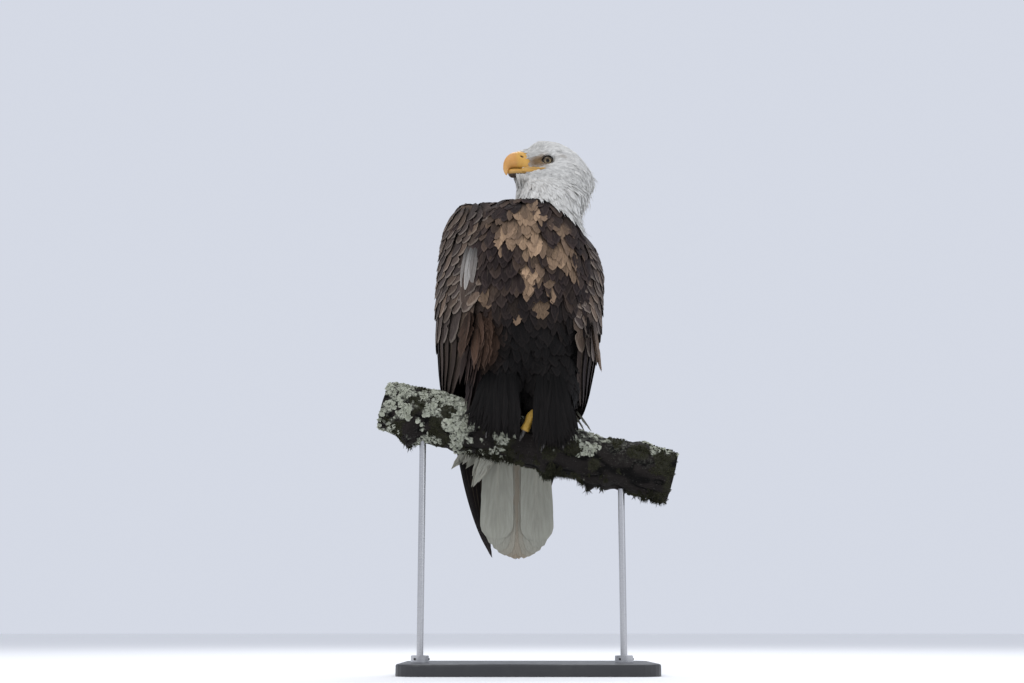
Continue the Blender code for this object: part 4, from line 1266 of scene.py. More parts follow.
def make_body_coat():
    rng = np.random.default_rng(SEED + 1)
    look = bpy.context.scene.eagle_plumage
    full = look.fullness
    surface = flesh()
    dark = plumage_material(
        "breast_feathers", Fringe=0.8, Fringe_Colour=(0.021, 0.0155, 0.0135), Shaft=0.5,
        Root_Shade=0.5, Tone_Spread=0.7, Barbs=55.0,
    )
    brown = plumage_material(
        "back_feathers", look.wing, Fringe=0.7, Fringe_Colour=(0.075, 0.064, 0.054), Shaft=0.5,
        Fringe_Width=0.2, Root_Shade=0.5, Tone_Spread=0.6, Barbs=55.0,
    )
    # the loose white tufts take the tail's greyer white: painted shade under the branch
    white = plumage_material(
        "loose_white", white=look.tail, Fringe=0.1, Shaft=0.3, Root_Shade=0.1, Tone_Spread=0.2
    )

    def angle_of(points):
        forward, left, _ = BIRD.local(points).T
        return np.degrees(np.abs(np.arctan2(left, forward + 0.02)))

    def height_of(points):
        return BIRD.local(points)[:, 2]

    def wing_gap(points):
        near = [node_surface(f"wing_{side}").nearest(points)[0] for side, _ in SIDES]
        return np.linalg.norm(np.array(near) - points, axis=2).min(axis=0)

    def off_wings(points):
        return (wing_gap(points) > 0.0035) | (height_of(points) > 0.385)

    def body(points):
        return (white_edge(points) < 0.014) & (height_of(points) > 0.010) & off_wings(points)

    def on_front(points, normals):
        return body(points) & (angle_of(points) < 80)

    def on_back(points, normals):
        return body(points) & (angle_of(points) > 72) & (height_of(points) > 0.12)

    def cover(name, material, wanted, gap, length, width, widest, tip, lift, spread, rings, pale, ragged):
        """Feathers over the places that are wanted, a gap apart. spread is how much their ways differ,
        and ragged how torn the palest are."""
        coat = Coat(unwrap_body, rng)
        roots, normals = surface.scatter(rng, 30000, wanted, lambda p: gap / full)
        lift = lift * (1 - smoothstep(-0.03, 0.01, white_edge(roots)))
        lengths = length * rng.uniform(0.7, 1.35, len(roots))
        heading = turned(body_lie(roots), normals, rng.normal(0, spread, len(roots)))
        path, lie = lay(surface, roots, heading, lengths, rings, coat_depth(roots) * 0.6, lift, body_lie)
        keep = (path[:, 0, 2] > path[:, -1, 2]) | (white_edge(roots) < -0.005)
        path, lie = path[keep], lie[keep]
        marks = masks(path[:, int(0.7 * rings)], 0.0)
        marks["worn"] = pale(marks["worn"], path)
        widths = coat.widths(path, 0.5 * width, 0.6, 1.25, widest, tip)
        ragged = 0.05 + ragged * marks["worn"]
        coat.add(path, lie, widths, section=8, cup=0.10, ragged=ragged, twist=0.13, **marks)
        coat.piece(name, material, "dark_plumage")

    def breast_worn(mask, path):
        chance = rng.random(len(mask))
        faint = 0.14 * chance**4 * smoothstep(0.58, 0.70, path[:, 5, 2])
        return np.where(mask > 0.18 + 0.42 * chance, mask * (0.5 + 0.5 * rng.random(len(mask))), faint)

    def back_worn(mask, path):
        return 0.2 * rng.random(len(mask)) ** 2

    breast = (0.0098, 0.042, 0.0215, 0.52, 0.62, 0.0026, 0.26, 14)
    cover("coat_breast", dark, on_front, *breast, breast_worn, 0.07)
    back = (0.0135, 0.050, 0.029, 0.62, 0.5, 0.0020, 0.10, 12)
    cover("coat_back", brown, on_back, *back, back_worn, 0.0)

    def on_leg(points, normals):
        at_leg = (height_of(points) < 0.060) & (height_of(points) > -0.045)
        return at_leg & (wing_gap(points) > np.where(BIRD.local(points)[:, 0] < 0, 0.014, 0.004))

    coat = Coat(unwrap_body, rng)
    roots, normals = surface.scatter(rng, 16000, on_leg, lambda p: 0.0064 / full)
    lengths = 0.034 * rng.uniform(0.7, 1.2, len(roots))
    heading = turned(body_lie(roots), normals, rng.normal(0, 0.2, len(roots)))
    path, lie = lay(surface, roots, heading, lengths, 6, 0.005, 0.0025)
    widths = coat.widths(path, 0.0046, 0.7, 1.2, 0.45, 1.0)
    # the legs take the belly's darker colour: painted shade under the body
    coat.add(path, lie, widths, section=6, ragged=0.12, twist=0.25, deep=1.0)
    add_leg_fringe(coat, rng)
    coat.piece("coat_legs", dark, "dark_plumage")
    add_tufts(rng, (dark, brown, white))


# where the leg feathers end, as (x, z)
LEG_HEM = (
    (-0.092, 0.432), (-0.068, 0.412), (-0.040, 0.414), (-0.015, 0.410), (0.012, 0.403), (0.027, 0.391),
    (0.060, 0.393), (0.080, 0.410),
)


def add_leg_fringe(coat, rng):
    """Loose leg feathers that hang in front of the feet, parted over one toe."""
    x = rng.uniform(-0.098, 0.080, 760)
    from_toe = x + 0.002
    x = np.where(np.abs(from_toe) < 0.012, x + np.sign(from_toe) * (0.012 - np.abs(from_toe)), x)
    low = np.interp(x, *np.transpose(LEG_HEM)) + rng.normal(0, 0.006, len(x))
    high = np.maximum(rng.uniform(0.440, 0.515, len(x)), low + 0.022)
    start, _ = flesh().nearest(np.stack([x * 0.92, np.full(len(x), -0.10), high], axis=1))
    roots = start + 0.002 * PERCH_FRONT
    depth = np.minimum(roots[:, 1] - 0.004, -0.092) + rng.uniform(-0.008, 0.0, len(x))
    splay = rng.normal(0, 0.008, len(x))
    splay = np.where(np.abs(from_toe) < 0.030, np.sign(from_toe) * np.abs(splay) * 0.5, splay)
    tips = np.stack([x + splay, depth, low], axis=1)
    reach = np.linalg.norm(tips - roots, axis=1)
    path = straight(roots, (tips - roots) / reach[:, None], reach, 10)
    path = path + 0.006 * np.sin(math.pi * np.linspace(0, 1, 10))[None, :, None] * PERCH_FRONT
    widths = coat.widths(path, 1, 0.0028, 0.0062, 0.5, 0.9)
    # these take the belly's darker colour: painted shade under the body
    coat.add(path, PERCH_FRONT, widths, section=6, ragged=0.14, twist=0.25, deep=1.0)


def add_tufts(rng, materials):
    coats = [Coat(unwrap_body, rng) for _ in materials]
    for root, tip, count, wide, deep, width, kind, worn, rust in TUFTS:
        scatter = rng.uniform(-1, 1, (count, 3)) * (wide, deep, 0.3 * wide)
        root, tip = np.array(root), np.array(tip)
        roots = root + 0.6 * scatter
        reach = tip + scatter * (1, 1, 0.2) - roots
        length = np.linalg.norm(reach, axis=1)
        path = straight(roots, reach / length[:, None], length * rng.uniform(0.7, 1.05, count), 16, 0.06)
        out = unit((BIRD.local(roots) * (1, 1, 0)) @ BIRD.axes)
        widths = coats[kind].widths(path, 0.5 * width, 0.8, 1.2, 0.55, 0.9)
        coats[kind].add(path, out[:, None], widths, section=8, cup=0.1, ragged=0.10, twist=0.2,
                        white=float(kind == 2), worn=worn, rust=rust)
    for coat, material, kind in zip(coats, materials, ("dark", "brown", "white")):
        slot = "white_plumage" if kind == "white" else "dark_plumage"
        coat.piece(f"tufts_{kind}", material, slot)


# ---- wings ----

# heights of the rows of small coverts
SMALL_COVERTS = np.linspace(0.400, 0.268, 9)
# rows of large coverts: height, length, width, feathers
LARGE_COVERTS = ((0.262, 0.066, 0.031, 15), (0.238, 0.088, 0.033, 14))
SMALL_IN_ROW, SECONDARIES, PRIMARIES = 17, 15, 9


def wing_points(sign, height, share, above):
    """Points over the folded wing's outer face, by height, by share of the way from its leading to
    its trailing edge, and by distance off the face."""
    height, share, above = np.broadcast_arrays(height, share, above)
    centre, half_width, half_depth, leading, trailing, _ = np.moveaxis(WING_ROWS.at(height), -1, 0)
    angle = np.radians(leading + share * (trailing - leading))
    drop = np.zeros(height.shape)
    if sign > 0:
        half_width = half_width * LEFT_WING_WIDTH
        drop = LEFT_WING_DROP * np.clip(height / WING[0][0], 0, 1)
    left = (half_width + above) * np.sin(angle)
    forward = centre + (half_depth + above) * np.cos(angle)
    return dented(BIRD.world(forward, sign * left, height - drop))


def wing_feathers(coat, sign, start, end, width, rings, section, widest, tip, above, roll, **more):
    """Adds feathers over the wing. start and end hold (height, share) for each feather, above is
    how far its root and its tip stand off the wing's face."""
    share = np.linspace(0, 1, rings)[None]
    height = start[0][:, None] + (end[0] - start[0])[:, None] * share
    around = start[1][:, None] + (end[1] - start[1])[:, None] * share
    first, last = (np.broadcast_to(off, len(height))[:, None] for off in above)
    off = first * (1 - share) + last * share
    path = wing_points(sign, height, around, off)
    normals = unit(wing_points(sign, height, around, off + 0.001) - path)
    widths = coat.widths(path, width * 0.5, 0.9, 1.1, widest, tip)
    coat.add(path, normals, widths, section=section, roll=sign * roll, **more)


def make_wings():
    look = bpy.context.scene.eagle_plumage
    covert = plumage_material(
        "wing_coverts", look.wing, Fringe=0.8, Fringe_Colour=(0.10, 0.087, 0.072), Fringe_Width=0.15,
        Shaft=0.6, Root_Shade=0.6, Tone_Spread=0.7, Barbs=55.0,
    )
    flight = plumage_material(
        "flight_feathers", look.flight, Fringe=0.5, Fringe_Colour=(0.03, 0.025, 0.022), Shaft=0.8,
        Fringe_Width=0.18, Root_Shade=0.2, Tone_Spread=0.5, Barbs=220.0, Shaft_Colour=(0.11, 0.085, 0.06),
    )
    for side, sign in SIDES:
        rng = np.random.default_rng(SEED + 3 + sign)
        coat = Coat(unwrap_body, rng)
        count = SMALL_IN_ROW
        for number, row in enumerate(SMALL_COVERTS):
            share = -0.05 + 1.05 * (np.arange(count) + 0.5 * (number % 2)) / (count - 0.5)
            share = share + rng.normal(0, 0.010, count)
            start = row + rng.normal(0, 0.004, count)
            low = 1 - (row - SMALL_COVERTS[-1]) / 0.132
            length = (0.040 + 0.016 * low) * rng.uniform(0.9, 1.15, count)
            lift = 0.0016 + 0.0012 * rng.random(count)
            wing_feathers(
                coat, sign, (start, share), (start - length, share + 0.006), 0.029, 12, 8, 0.66, 0.45,
                (-0.0050, lift), 0.05, cup=0.14, ragged=0.06, worn=0.25 * rng.random(count) ** 2,
            )
        for row, length, width, count in LARGE_COVERTS:
            share = np.linspace(-0.03, 0.99, count) + rng.normal(0, 0.006, count)
            start = row + rng.normal(0, 0.004, count)
            length = length * rng.uniform(0.92, 1.08, count)
            wing_feathers(
                coat, sign, (start, share), (start - length, share + 0.004), width, 16, 8, 0.70, 0.45,
                (-0.0045, 0.0014), 0.07, cup=0.10, ragged=0.04, worn=0.2 * rng.random(count) ** 2,
            )
        coat.piece(f"coverts_{side}", covert, "dark_plumage")
        coat = Coat(unwrap_body, rng)
        count = SECONDARIES
        share = np.linspace(-0.02, 0.97, count)
        tips = 0.008 + 0.052 * (1 - share) + rng.normal(0, 0.003, count)
        wing_feathers(
            coat, sign, (np.full(count, 0.215), share), (tips, share), 0.037, 24, 12, 0.82, 0.45,
            (-0.004, 0.0000), 0.09, cup=0.06, ragged=0.012, thickness=0.0006, worn=0.10 * rng.random(count),
        )
        coat.piece(f"secondaries_{side}", flight, "flight_feathers")
        coat = Coat(unwrap_body, rng)
        count = PRIMARIES
        share = np.linspace(0.05 if sign < 0 else 0.42, 0.95, count)
        tips = WING[-1][0] + 0.075 * (1 - np.sin(math.pi * (0.12 + 0.80 * share))) - 0.004
        wing_feathers(
            coat, sign, (np.full(count, 0.085), share), (tips, share), 0.030, 26, 10, 0.55, 0.75,
            (-0.003, -0.0005), 0.10, cup=0.05, ragged=0.0, thickness=0.0006, tone=0.25,
        )
        coat.piece(f"primary_feathers_{side}", flight, "flight_feathers", (f"primaries_{side}",))
    make_pale_feather(covert)


def make_pale_feather(material):
    """One long worn feather that hangs at the front edge of the right wing, split into strips, over
    a darker one."""
    rng = np.random.default_rng(SEED + 5)
    coat = Coat(unwrap_body, rng)
    share = np.linspace(0, 1, 30)
    # sideways shift, distance off the wing, top, length, half width, white
    for shift, off, top, length, half, white in (
        (0.0000, 0.0050, 0.725, 0.100, 0.0122, 0.0),
        (-0.0082, 0.0062, 0.742, 0.074, 0.0064, 0.26),
        (0.0072, 0.0064, 0.743, 0.084, 0.0066, 0.22),
        (-0.0008, 0.0070, 0.742, 0.080, 0.0062, 0.44),
    ):
        x = -0.0975 + shift - 0.112 * (0.742 - top) - 0.0105 * share * length / 0.074
        z = top - length * share
        front = [flesh().tree.ray_cast(Vector(p), Vector((0, 1, 0)))[0].y for p in zip(x, 0 * x - 0.4, z)]
        y = np.polyval(np.polyfit(share, front, 3), share) - off + 0.006 * (1 - share) ** 6
        path = np.stack([x, y, z], axis=1)[None]
        widths = half * feather_outline(30, 0.5, 0.6)[None]
        coat.add(path, unit(np.array((-0.30, -1.0, 0.1))), widths, section=12, cup=0.10, ragged=0.02,
                 thickness=0.0005, roll=0.06, white=white, worn=0.08, tone=0.4)
    coat.piece("pale_feather", material, "dark_plumage")


# ---- tail ----


def make_tail():
    rng = np.random.default_rng(SEED + 11)
    look = bpy.context.scene.eagle_plumage
    # the tail takes the greyer white: painted shade under the branch
    material = plumage_material(
        "tail_feathers", white=look.tail, Fringe=0.3, Fringe_Colour=(0.10, 0.10, 0.09), Shaft=0.35,
        Shaft_Colour=(0.42, 0.40, 0.33), Root_Shade=0.15, Streaks=0.4, Tone_Spread=0.12, Barbs=260.0,
    )
    count, rings = TAIL_FEATHERS, 30
    place = np.linspace(-1, 1, count)
    out = np.abs(place)
    half = 0.019 + 0.0115 * smoothstep(0.85, 1.0, out)
    middle = np.exp(-((place / 0.42) ** 2))
    reach = 1 - 0.11 * out**2 - 0.012 * rng.random(count) * middle
    share = np.linspace(0, 1, rings)[None] * reach[:, None]
    forward, height, half_width = np.moveaxis(TAIL_ROWS.at(share), -1, 0)
    left = (half_width - 0.9 * half[:, None]) * place[:, None] + TAIL_SWING * share
    path = BIRD.world(forward - 0.004 + 0.0055 * out[:, None], left, height)
    widths = half[:, None] * feather_outline(rings, 0.89, 0.5)[None]
    coat = Coat(unwrap_body, rng)
    coat.add(path, BIRD.axes[0], widths, section=16, cup=-0.03, thickness=0.0007,
             roll=0.03 * place, white=1.0 - 0.60 * middle, worn=0.9, ragged=0.008 + 0.10 * middle,
             tone=0.5 + 0.1 * rng.random(count))
    coat.piece("tail_feathers", material, "white_plumage", ("tail",))


# ---- bill and eyes ----


def bill_shell(rows, rings, sides, squareness=2.1):
    """Points and faces of one bill piece, and each point's share of the way to its tip."""
    table = Stations([(i, *low, *high, width) for i, (low, high, width) in enumerate(rows)])
    share = np.linspace(0, len(rows) - 1, rings)
    low_f, low_u, high_f, high_u, width = np.moveaxis(table.at(share), -1, 0)[..., None]
    turn = circle(sides)[None]
    c, s = np.cos(turn), np.sin(turn)
    size = (np.abs(c) ** squareness + np.abs(s) ** squareness) ** (-1 / squareness)
    up, aside = c * size, s * size
    forward = (low_f + high_f) / 2 + (high_f - low_f) / 2 * up
    height = (low_u + high_u) / 2 + (high_u - low_u) / 2 * up
    local = np.stack(np.broadcast_arrays(forward, width * aside, height), axis=-1)
    centres = local.mean(axis=1)
    first = centres[0] + (centres[0] - centres[1]) * 0.3
    last = centres[-1] + (centres[-1] - centres[-2]) * 0.3
    points, quads, tris = loft(local, first, last)
    along = np.concatenate([np.repeat(share / share[-1], sides), (0.0, 1.0)])
    return points, quads, tris, along


def mouth_line(local):
    """1 on the line between the jaws, falling to 0 close by."""
    forward, _, up = local.T
    height = np.interp(forward, *np.transpose(MOUTH_LINE))
    return np.exp(-(((up - height) / 0.0009) ** 2)) * smoothstep(0.006, 0.016, forward)


def mouth_corner(sign):
    """Rings of points along the roll of skin at one corner of the mouth, out over the cheek."""
    table = Stations([(i, *row) for i, row in enumerate(MOUTH_CORNER)])
    turn = circle(24)
    rings = []
    for f, aside, up, tall in table.at(np.linspace(0, len(MOUTH_CORNER) - 1, 34)):
        near, _ = flesh().nearest(HEAD.world(f, sign * aside, up)[None])
        if f < 0.036:
            aside = max(aside, abs(HEAD.local(near)[0, 1]))
        thick = 0.0004 + 0.0009 * smoothstep(0.048, 0.036, f)
        ring = (0 * turn + f, sign * (aside + thick * np.cos(turn)), up + tall * np.sin(turn))
        rings.append(np.stack(ring, axis=1))
    return np.array(rings)


def make_bill():
    look = bpy.context.scene.eagle_face
    shells = Shells()

    def add(points, quads, tris, **values):
        shells.add(HEAD.world(*points.T), quads, tris, **values)

    points, quads, tris, along = bill_shell(CERE, 36, 112)
    from_slit = points[:, [0, 2]] - NOSTRIL
    line = mouth_line(points)
    slit, level = NOSTRIL_WAY
    lengthwise, across = from_slit @ (slit, level), from_slit @ (-level, slit)
    away = (lengthwise / NOSTRIL_HALF[0]) ** 2 + (across / NOSTRIL_HALF[1]) ** 2
    # the nostril is dented in; the nostril and the line between the jaws are painted dark: painted shade in
    # the hole and in the crease
    painted_dark_shade = np.exp(-away) * (np.abs(points[:, 1]) > 0.004)
    points[:, 1] -= np.sign(points[:, 1]) * 0.0030 * painted_dark_shade
    add(points, quads, tris, horn=0.0, painted_dark_shade=np.maximum(painted_dark_shade, 0.4 * line), shade=line, along=along)
    points, quads, tris, along = bill_shell(UPPER_BILL, 56, 96)
    # the lower edge of the upper bill bulges a little and is painted darker: painted shade along the cutting
    # edge
    edge = smoothstep(-0.0108, -0.0142, points[:, 2]) * smoothstep(0.066, 0.060, points[:, 0])
    points[:, 1] *= 1 + 0.06 * edge
    add(points, quads, tris, horn=smoothstep(0.02, 0.16, along), painted_dark_shade=0.0, shade=edge, along=along)
    points, quads, tris, along = bill_shell(LOWER_BILL, 30, 64)
    up = points[:, 2]
    # the lower jaw is painted darker all over, more at its top edge and below, and near black along its
    # underside: painted shade under the upper bill and under the jaw
    shade = 0.3 + 0.9 * np.maximum(smoothstep(-0.0185, -0.0245, up), smoothstep(-0.0168, -0.0150, up))
    add(points, quads, tris, horn=0.3, painted_dark_shade=smoothstep(-0.0245, -0.0268, up), shade=shade, along=0.2)
    for _, sign in SIDES:
        rings = mouth_corner(sign)
        points, quads, tris = loft(rings, rings[0].mean(axis=0), rings[-1].mean(axis=0))
        # the mouth corner is painted darker, most of all in its fold: painted shade in the crease
        fold = mouth_line(points)
        add(points, quads, tris, horn=0.0, painted_dark_shade=0.4 * fold, shade=0.5 + 0.5 * fold, along=0.5)
    mesh = shells.mesh("bill")
    n = Look("bill", Roughness=0.5, Coat_Weight=0.04, Subsurface_Weight=0.06)
    n.set(Subsurface_Radius=(0.004, 0.002, 0.001))
    place = n.place()
    horn = n.mix(n.noise(place, 120.0), look.horn, scaled(look.horn, 0.82))
    streaks = n.noise(n.place((220, 220, 900)), 1.0, 4.0)
    horn = n.mix(n.step(streaks, 0.5, 0.75, 0.0, 0.3), horn, (0.62, 0.36, 0.13))
    tip = n.step(n.attribute("along"), 0.55, 0.9, 0.0, 0.7)
    horn = n.mix(tip, horn, (0.70, 0.40, 0.13))
    waxy = n.mix(n.noise(place, 260.0), look.cere, (0.62, 0.36, 0.08))
    colour = n.mix(n.attribute("horn"), waxy, horn)
    # both darkenings are painted shade: in the mouth's crease, under the jaw, along the cutting edge and in
    # the nostril
    colour = n.mix(n.times(n.attribute("shade"), 0.55), colour, (0.22, 0.13, 0.025))
    colour = n.mix(n.step(n.attribute("painted_dark_shade"), 0.15, 0.7), colour, (0.035, 0.018, 0.008))
    n.set(Base_Color=colour)
    n.bump(n.noise(place, 700.0), 0.25, 0.0004)
    solids = ("bill_upper", "bill_lower", "cere", "gape_left", "gape_right")
    add_piece("bill", mesh, n.material, solids)


def make_eyes():
    look = bpy.context.scene.eagle_face
    n = Look("eye", Roughness=0.25, Specular_IOR_Level=0.15, Coat_Weight=0.18, Coat_Roughness=0.03)
    out = n.attribute("off_axis")
    ring = n.noise(n.place((900, 900, 900)), 1.0)
    iris = n.mix(ring, look.iris, scaled(look.iris, 0.72))
    # the iris is darker by the pupil and by its rim, and black outside it
    for start, end, colour in (
        (0.0044, 0.0032, (0.15, 0.10, 0.05)),
        (0.0054, 0.0066, (0.14, 0.095, 0.05)),
        (0.0064, 0.0070, (0.012, 0.009, 0.008)),
    ):
        iris = n.mix(n.step(out, start, end), iris, colour)
    off_pupil = n.step(out, look.pupil - 0.0001, look.pupil + 0.0002)
    n.set(Base_Color=n.mix(off_pupil, (0.004, 0.004, 0.004), iris))
    for side, sign in SIDES:
        centre = box_centre(f"eye_{side}")
        axis = unit(HEAD.axes[1] * sign + 0.20 * HEAD.axes[0] - 0.33 * HEAD.axes[2])
        lat = np.linspace(0, math.pi, 49)[1:-1, None]
        lon = circle(64)[None]
        across = unit(np.cross(axis, (0.0, 0.0, 1.0)))
        other = np.cross(axis, across)
        bulge = EYE_RADIUS * (1 + 0.015 * np.exp(-((lat / 0.55) ** 4)))
        round_axis = np.cos(lon)[..., None] * across + np.sin(lon)[..., None] * other
        rings = bulge[..., None] * (np.cos(lat)[..., None] * axis + np.sin(lat)[..., None] * round_axis)
        front, back = centre + 1.015 * EYE_RADIUS * axis, centre - EYE_RADIUS * axis
        points, quads, tris = loft(centre + rings, front, back)
        away = points - centre
        off_axis = np.linalg.norm(away - dot(away, axis) * axis, axis=1)
        off_axis[(away @ axis) < 0] = EYE_RADIUS
        values = {"off_axis": off_axis}
        mesh = outward(mesh_from_arrays(f"eyeball_{side}", points, [quads, tris], values=values))
        add_piece(f"eyeball_{side}", mesh, n.material, (f"eye_{side}",))


# ---- feet ----


def scute_tree(material):
    """Geometry nodes that set one rounded plate on each point, turned and sized by its attributes."""
    n, given = geometry_tree("Scutes", Length="Float", Width="Float", Height="Float")
    ball = n.add("GeometryNodeMeshUVSphere", {"Segments": 12, "Rings": 6, "Radius": 0.5}).outputs["Mesh"]
    size = n.join(given["Length"], given["Width"], given["Height"])
    plate = n.add("GeometryNodeTransform", {"Geometry": ball, "Scale": size}).outputs[0]
    turn, share = n.named("turn", "FLOAT_VECTOR"), n.named("share")
    place = {"Points": given["Geometry"], "Instance": plate, "Rotation": turn, "Scale": share}
    return n.realized(n.add("GeometryNodeInstanceOnPoints", place).outputs[0], material)


def scute_points(paths):
    """Points along the tops of the toes, each with the way its plate is turned."""
    places, turns = [], []
    for path, radii in paths:
        along = unit(np.gradient(path, axis=0))
        out = unit(from_perch(path)[1])
        out = unit(out - dot(out, along) * along)
        across = np.cross(out, along)
        for i in range(4, len(path) - 2, 5):
            places.append(path[i] + (radii[i] - 0.0003) * out[i])
            turns.append(Matrix((along[i], across[i], out[i])).transposed().to_euler()[:])
    mesh = bpy.data.meshes.new("scute_points")
    mesh.from_pydata(places, [], [])
    set_values(mesh, {"turn": turns, "share": np.linspace(1.0, 0.9, len(places))})
    return mesh


def make_feet():
    scutes = Look("scutes", Roughness=0.5)
    place = scutes.place()
    # the toes' yellow is painted darker than that of real feet: painted shade under the body
    colour = scutes.mix(scutes.noise(place, 220.0), (0.55, 0.34, 0.05), (0.38, 0.22, 0.035))
    scutes.set(Base_Color=scutes.mix(scutes.attribute("groove"), colour, (0.20, 0.11, 0.03)))
    cells = scutes.add("ShaderNodeTexVoronoi", {"Vector": place, "Scale": 480.0}, feature="DISTANCE_TO_EDGE")
    scutes.bump(scutes.step(cells.outputs["Distance"], 0.0, 0.2), 0.5, 0.0005)
    horn = Look("claw_horn", Roughness=0.22)
    streaks = horn.noise(horn.place((300, 300, 60)), 1.0)
    horn.set(Base_Color=horn.mix(streaks, (0.012, 0.011, 0.011), (0.05, 0.045, 0.04)))
    below = (BIRD_FOOT - PERCH_CENTRE) @ PERCH_AXIS
    plates_on = []
    for side, _ in SIDES:
        foot = below + FOOT_ALONG[side]
        toes, claws = Shells(), Shells()
        bottom = perch(foot, 0.0, GRIP + 0.010)
        top = bottom + 0.070 * BIRD.axes[2]
        path = bottom + np.linspace(0, 1, 14)[:, None] * (top - bottom)
        radii = 0.0105 + 0.003 * np.exp(-np.linspace(0, 6, 14))
        toes.add(*loft(tube_rings(path, radii, 24), path[0], path[-1]), groove=0.0)
        for start, end, *claw in TOES[side].values():
            claw_first, claw_last = np.radians(claw)
            first = math.copysign(FIRST_TOE_ANGLE, claw_first)
            share = np.linspace(0, 1, 60)
            plates = np.abs(np.sin(math.pi * 12 * share)) ** 0.5
            radii = 0.0098 - 0.0024 * share + 0.0007 * np.cos(4 * math.pi * share) - 0.0006 * (1 - plates)
            angle = first + share * (claw_first - first)
            path = perch(foot + start + share * (end - start), angle, GRIP + radii)
            plates_on.append((path, radii))
            groove = np.concatenate([np.repeat(smoothstep(0.45, 0.1, plates), 24), (0.0, 0.0)])
            tip = path[-1] + 3 * (path[-1] - path[-2])
            toes.add(*loft(tube_rings(path, radii, 24), path[0], tip), groove=groove)
            share = np.linspace(0, 1, 30)
            radii = 0.0058 * (1 - 0.92 * share**1.25)
            angle = claw_first + (share - 0.08) * (claw_last - claw_first)
            lift = GRIP + radii + 0.0060 * np.sin(math.pi * share**0.8)
            path = perch(foot + end * (1 + 0.12 * share), angle, lift)
            claws.add(*loft(tube_rings(path, radii, 16), path[0], 2 * path[-1] - path[-2]), groove=0.0)
        toe_nodes = [f"tarsus_{side}"] + [f"toe_{side}_{n}" for n in TOES[side]]
        add_piece(f"toes_{side}", toes.mesh("toes"), scutes.material, toe_nodes)
        claw_nodes = [f"claw_{side}_{n}" for n in TOES[side]]
        add_piece(f"claws_{side}", claws.mesh("claws"), horn.material, claw_nodes)
    tree = scute_tree(scutes.material)
    plates = grown(tree, scute_points(plates_on), Length=0.0046, Width=0.0105, Height=0.0022)
    add_piece("scutes", plates, scutes.material)


# ---- perch ----

# swellings of the bark: along the perch, which side (1 is above), half width and height
KNOTS = (
    (-0.205, -1.0, 0.014, 0.013), (-0.120, -0.8, 0.014, 0.004), (0.045, -1.0, 0.011, 0.011),
    (0.125, -1.0, 0.015, 0.013), (0.152, -0.9, 0.010, 0.008), (-0.180, 0.9, 0.030, 0.003),
    (0.190, 0.8, 0.024, 0.004),
)


def bark_height(points):
    """Relief of the bark, and where lichen, moss and hanging strands grow on it."""
    along, round_about = from_perch(points)
    up = unit(round_about) @ PERCH_UP
    stretched = np.stack([24 * along, 62 * (round_about @ PERCH_UP), 62 * round_about[:, 1]], axis=1)
    stretched = stretched + 0.5 * noise(points * 40, 8)[:, None]
    furrow = (1 - np.abs(noise(stretched, 1)) ** 0.8) ** 3
    fine = (1 - np.abs(noise(points * (120, 190, 190), 2)) ** 0.8) ** 2
    left = smoothstep(0.0, -0.10, along)
    calm = 0.35 + 0.65 * smoothstep(0.075, 0.125, np.abs(along + 0.015))
    patches = noise(points * 42, 4) + 0.6 * noise(points * 110, 5) + 0.35 * noise(points * 260, 9)
    crust = smoothstep(0.10, 0.30, patches + 0.42 * up + 0.92 * left - 0.64)
    tufts = noise(points * 26 + 9, 6) + 0.5 * noise(points * 70, 7)
    mossy = smoothstep(0.05, 0.40, tufts + 0.05 - 0.30 * left) * (1 - crust)
    hanging = smoothstep(-0.35, -0.85, up) * smoothstep(0.0, 0.35, noise(points * 24, 10))
    lumps = (1.3 * noise(points * 17, 3) + 0.6 * noise(points * 45, 11)) * calm
    knots = sum(rise * blob(along, up, (at, side, wide, 0.5), 1) for at, side, wide, rise in KNOTS)
    height = 0.0034 * lumps - 0.0032 * furrow - 0.0012 * fine + 0.0014 * crust + 0.0012 * mossy
    height += knots * (1 + 0.6 * noise(points * 90, 12))
    dust = smoothstep(-0.2, 0.9, up) * (0.3 + 0.7 * left) * smoothstep(-0.5, 0.3, noise(points * 35, 13))
    return height, {"crust": crust, "mossy": mossy, "hanging": hanging, "furrow": furrow, "dust": dust}


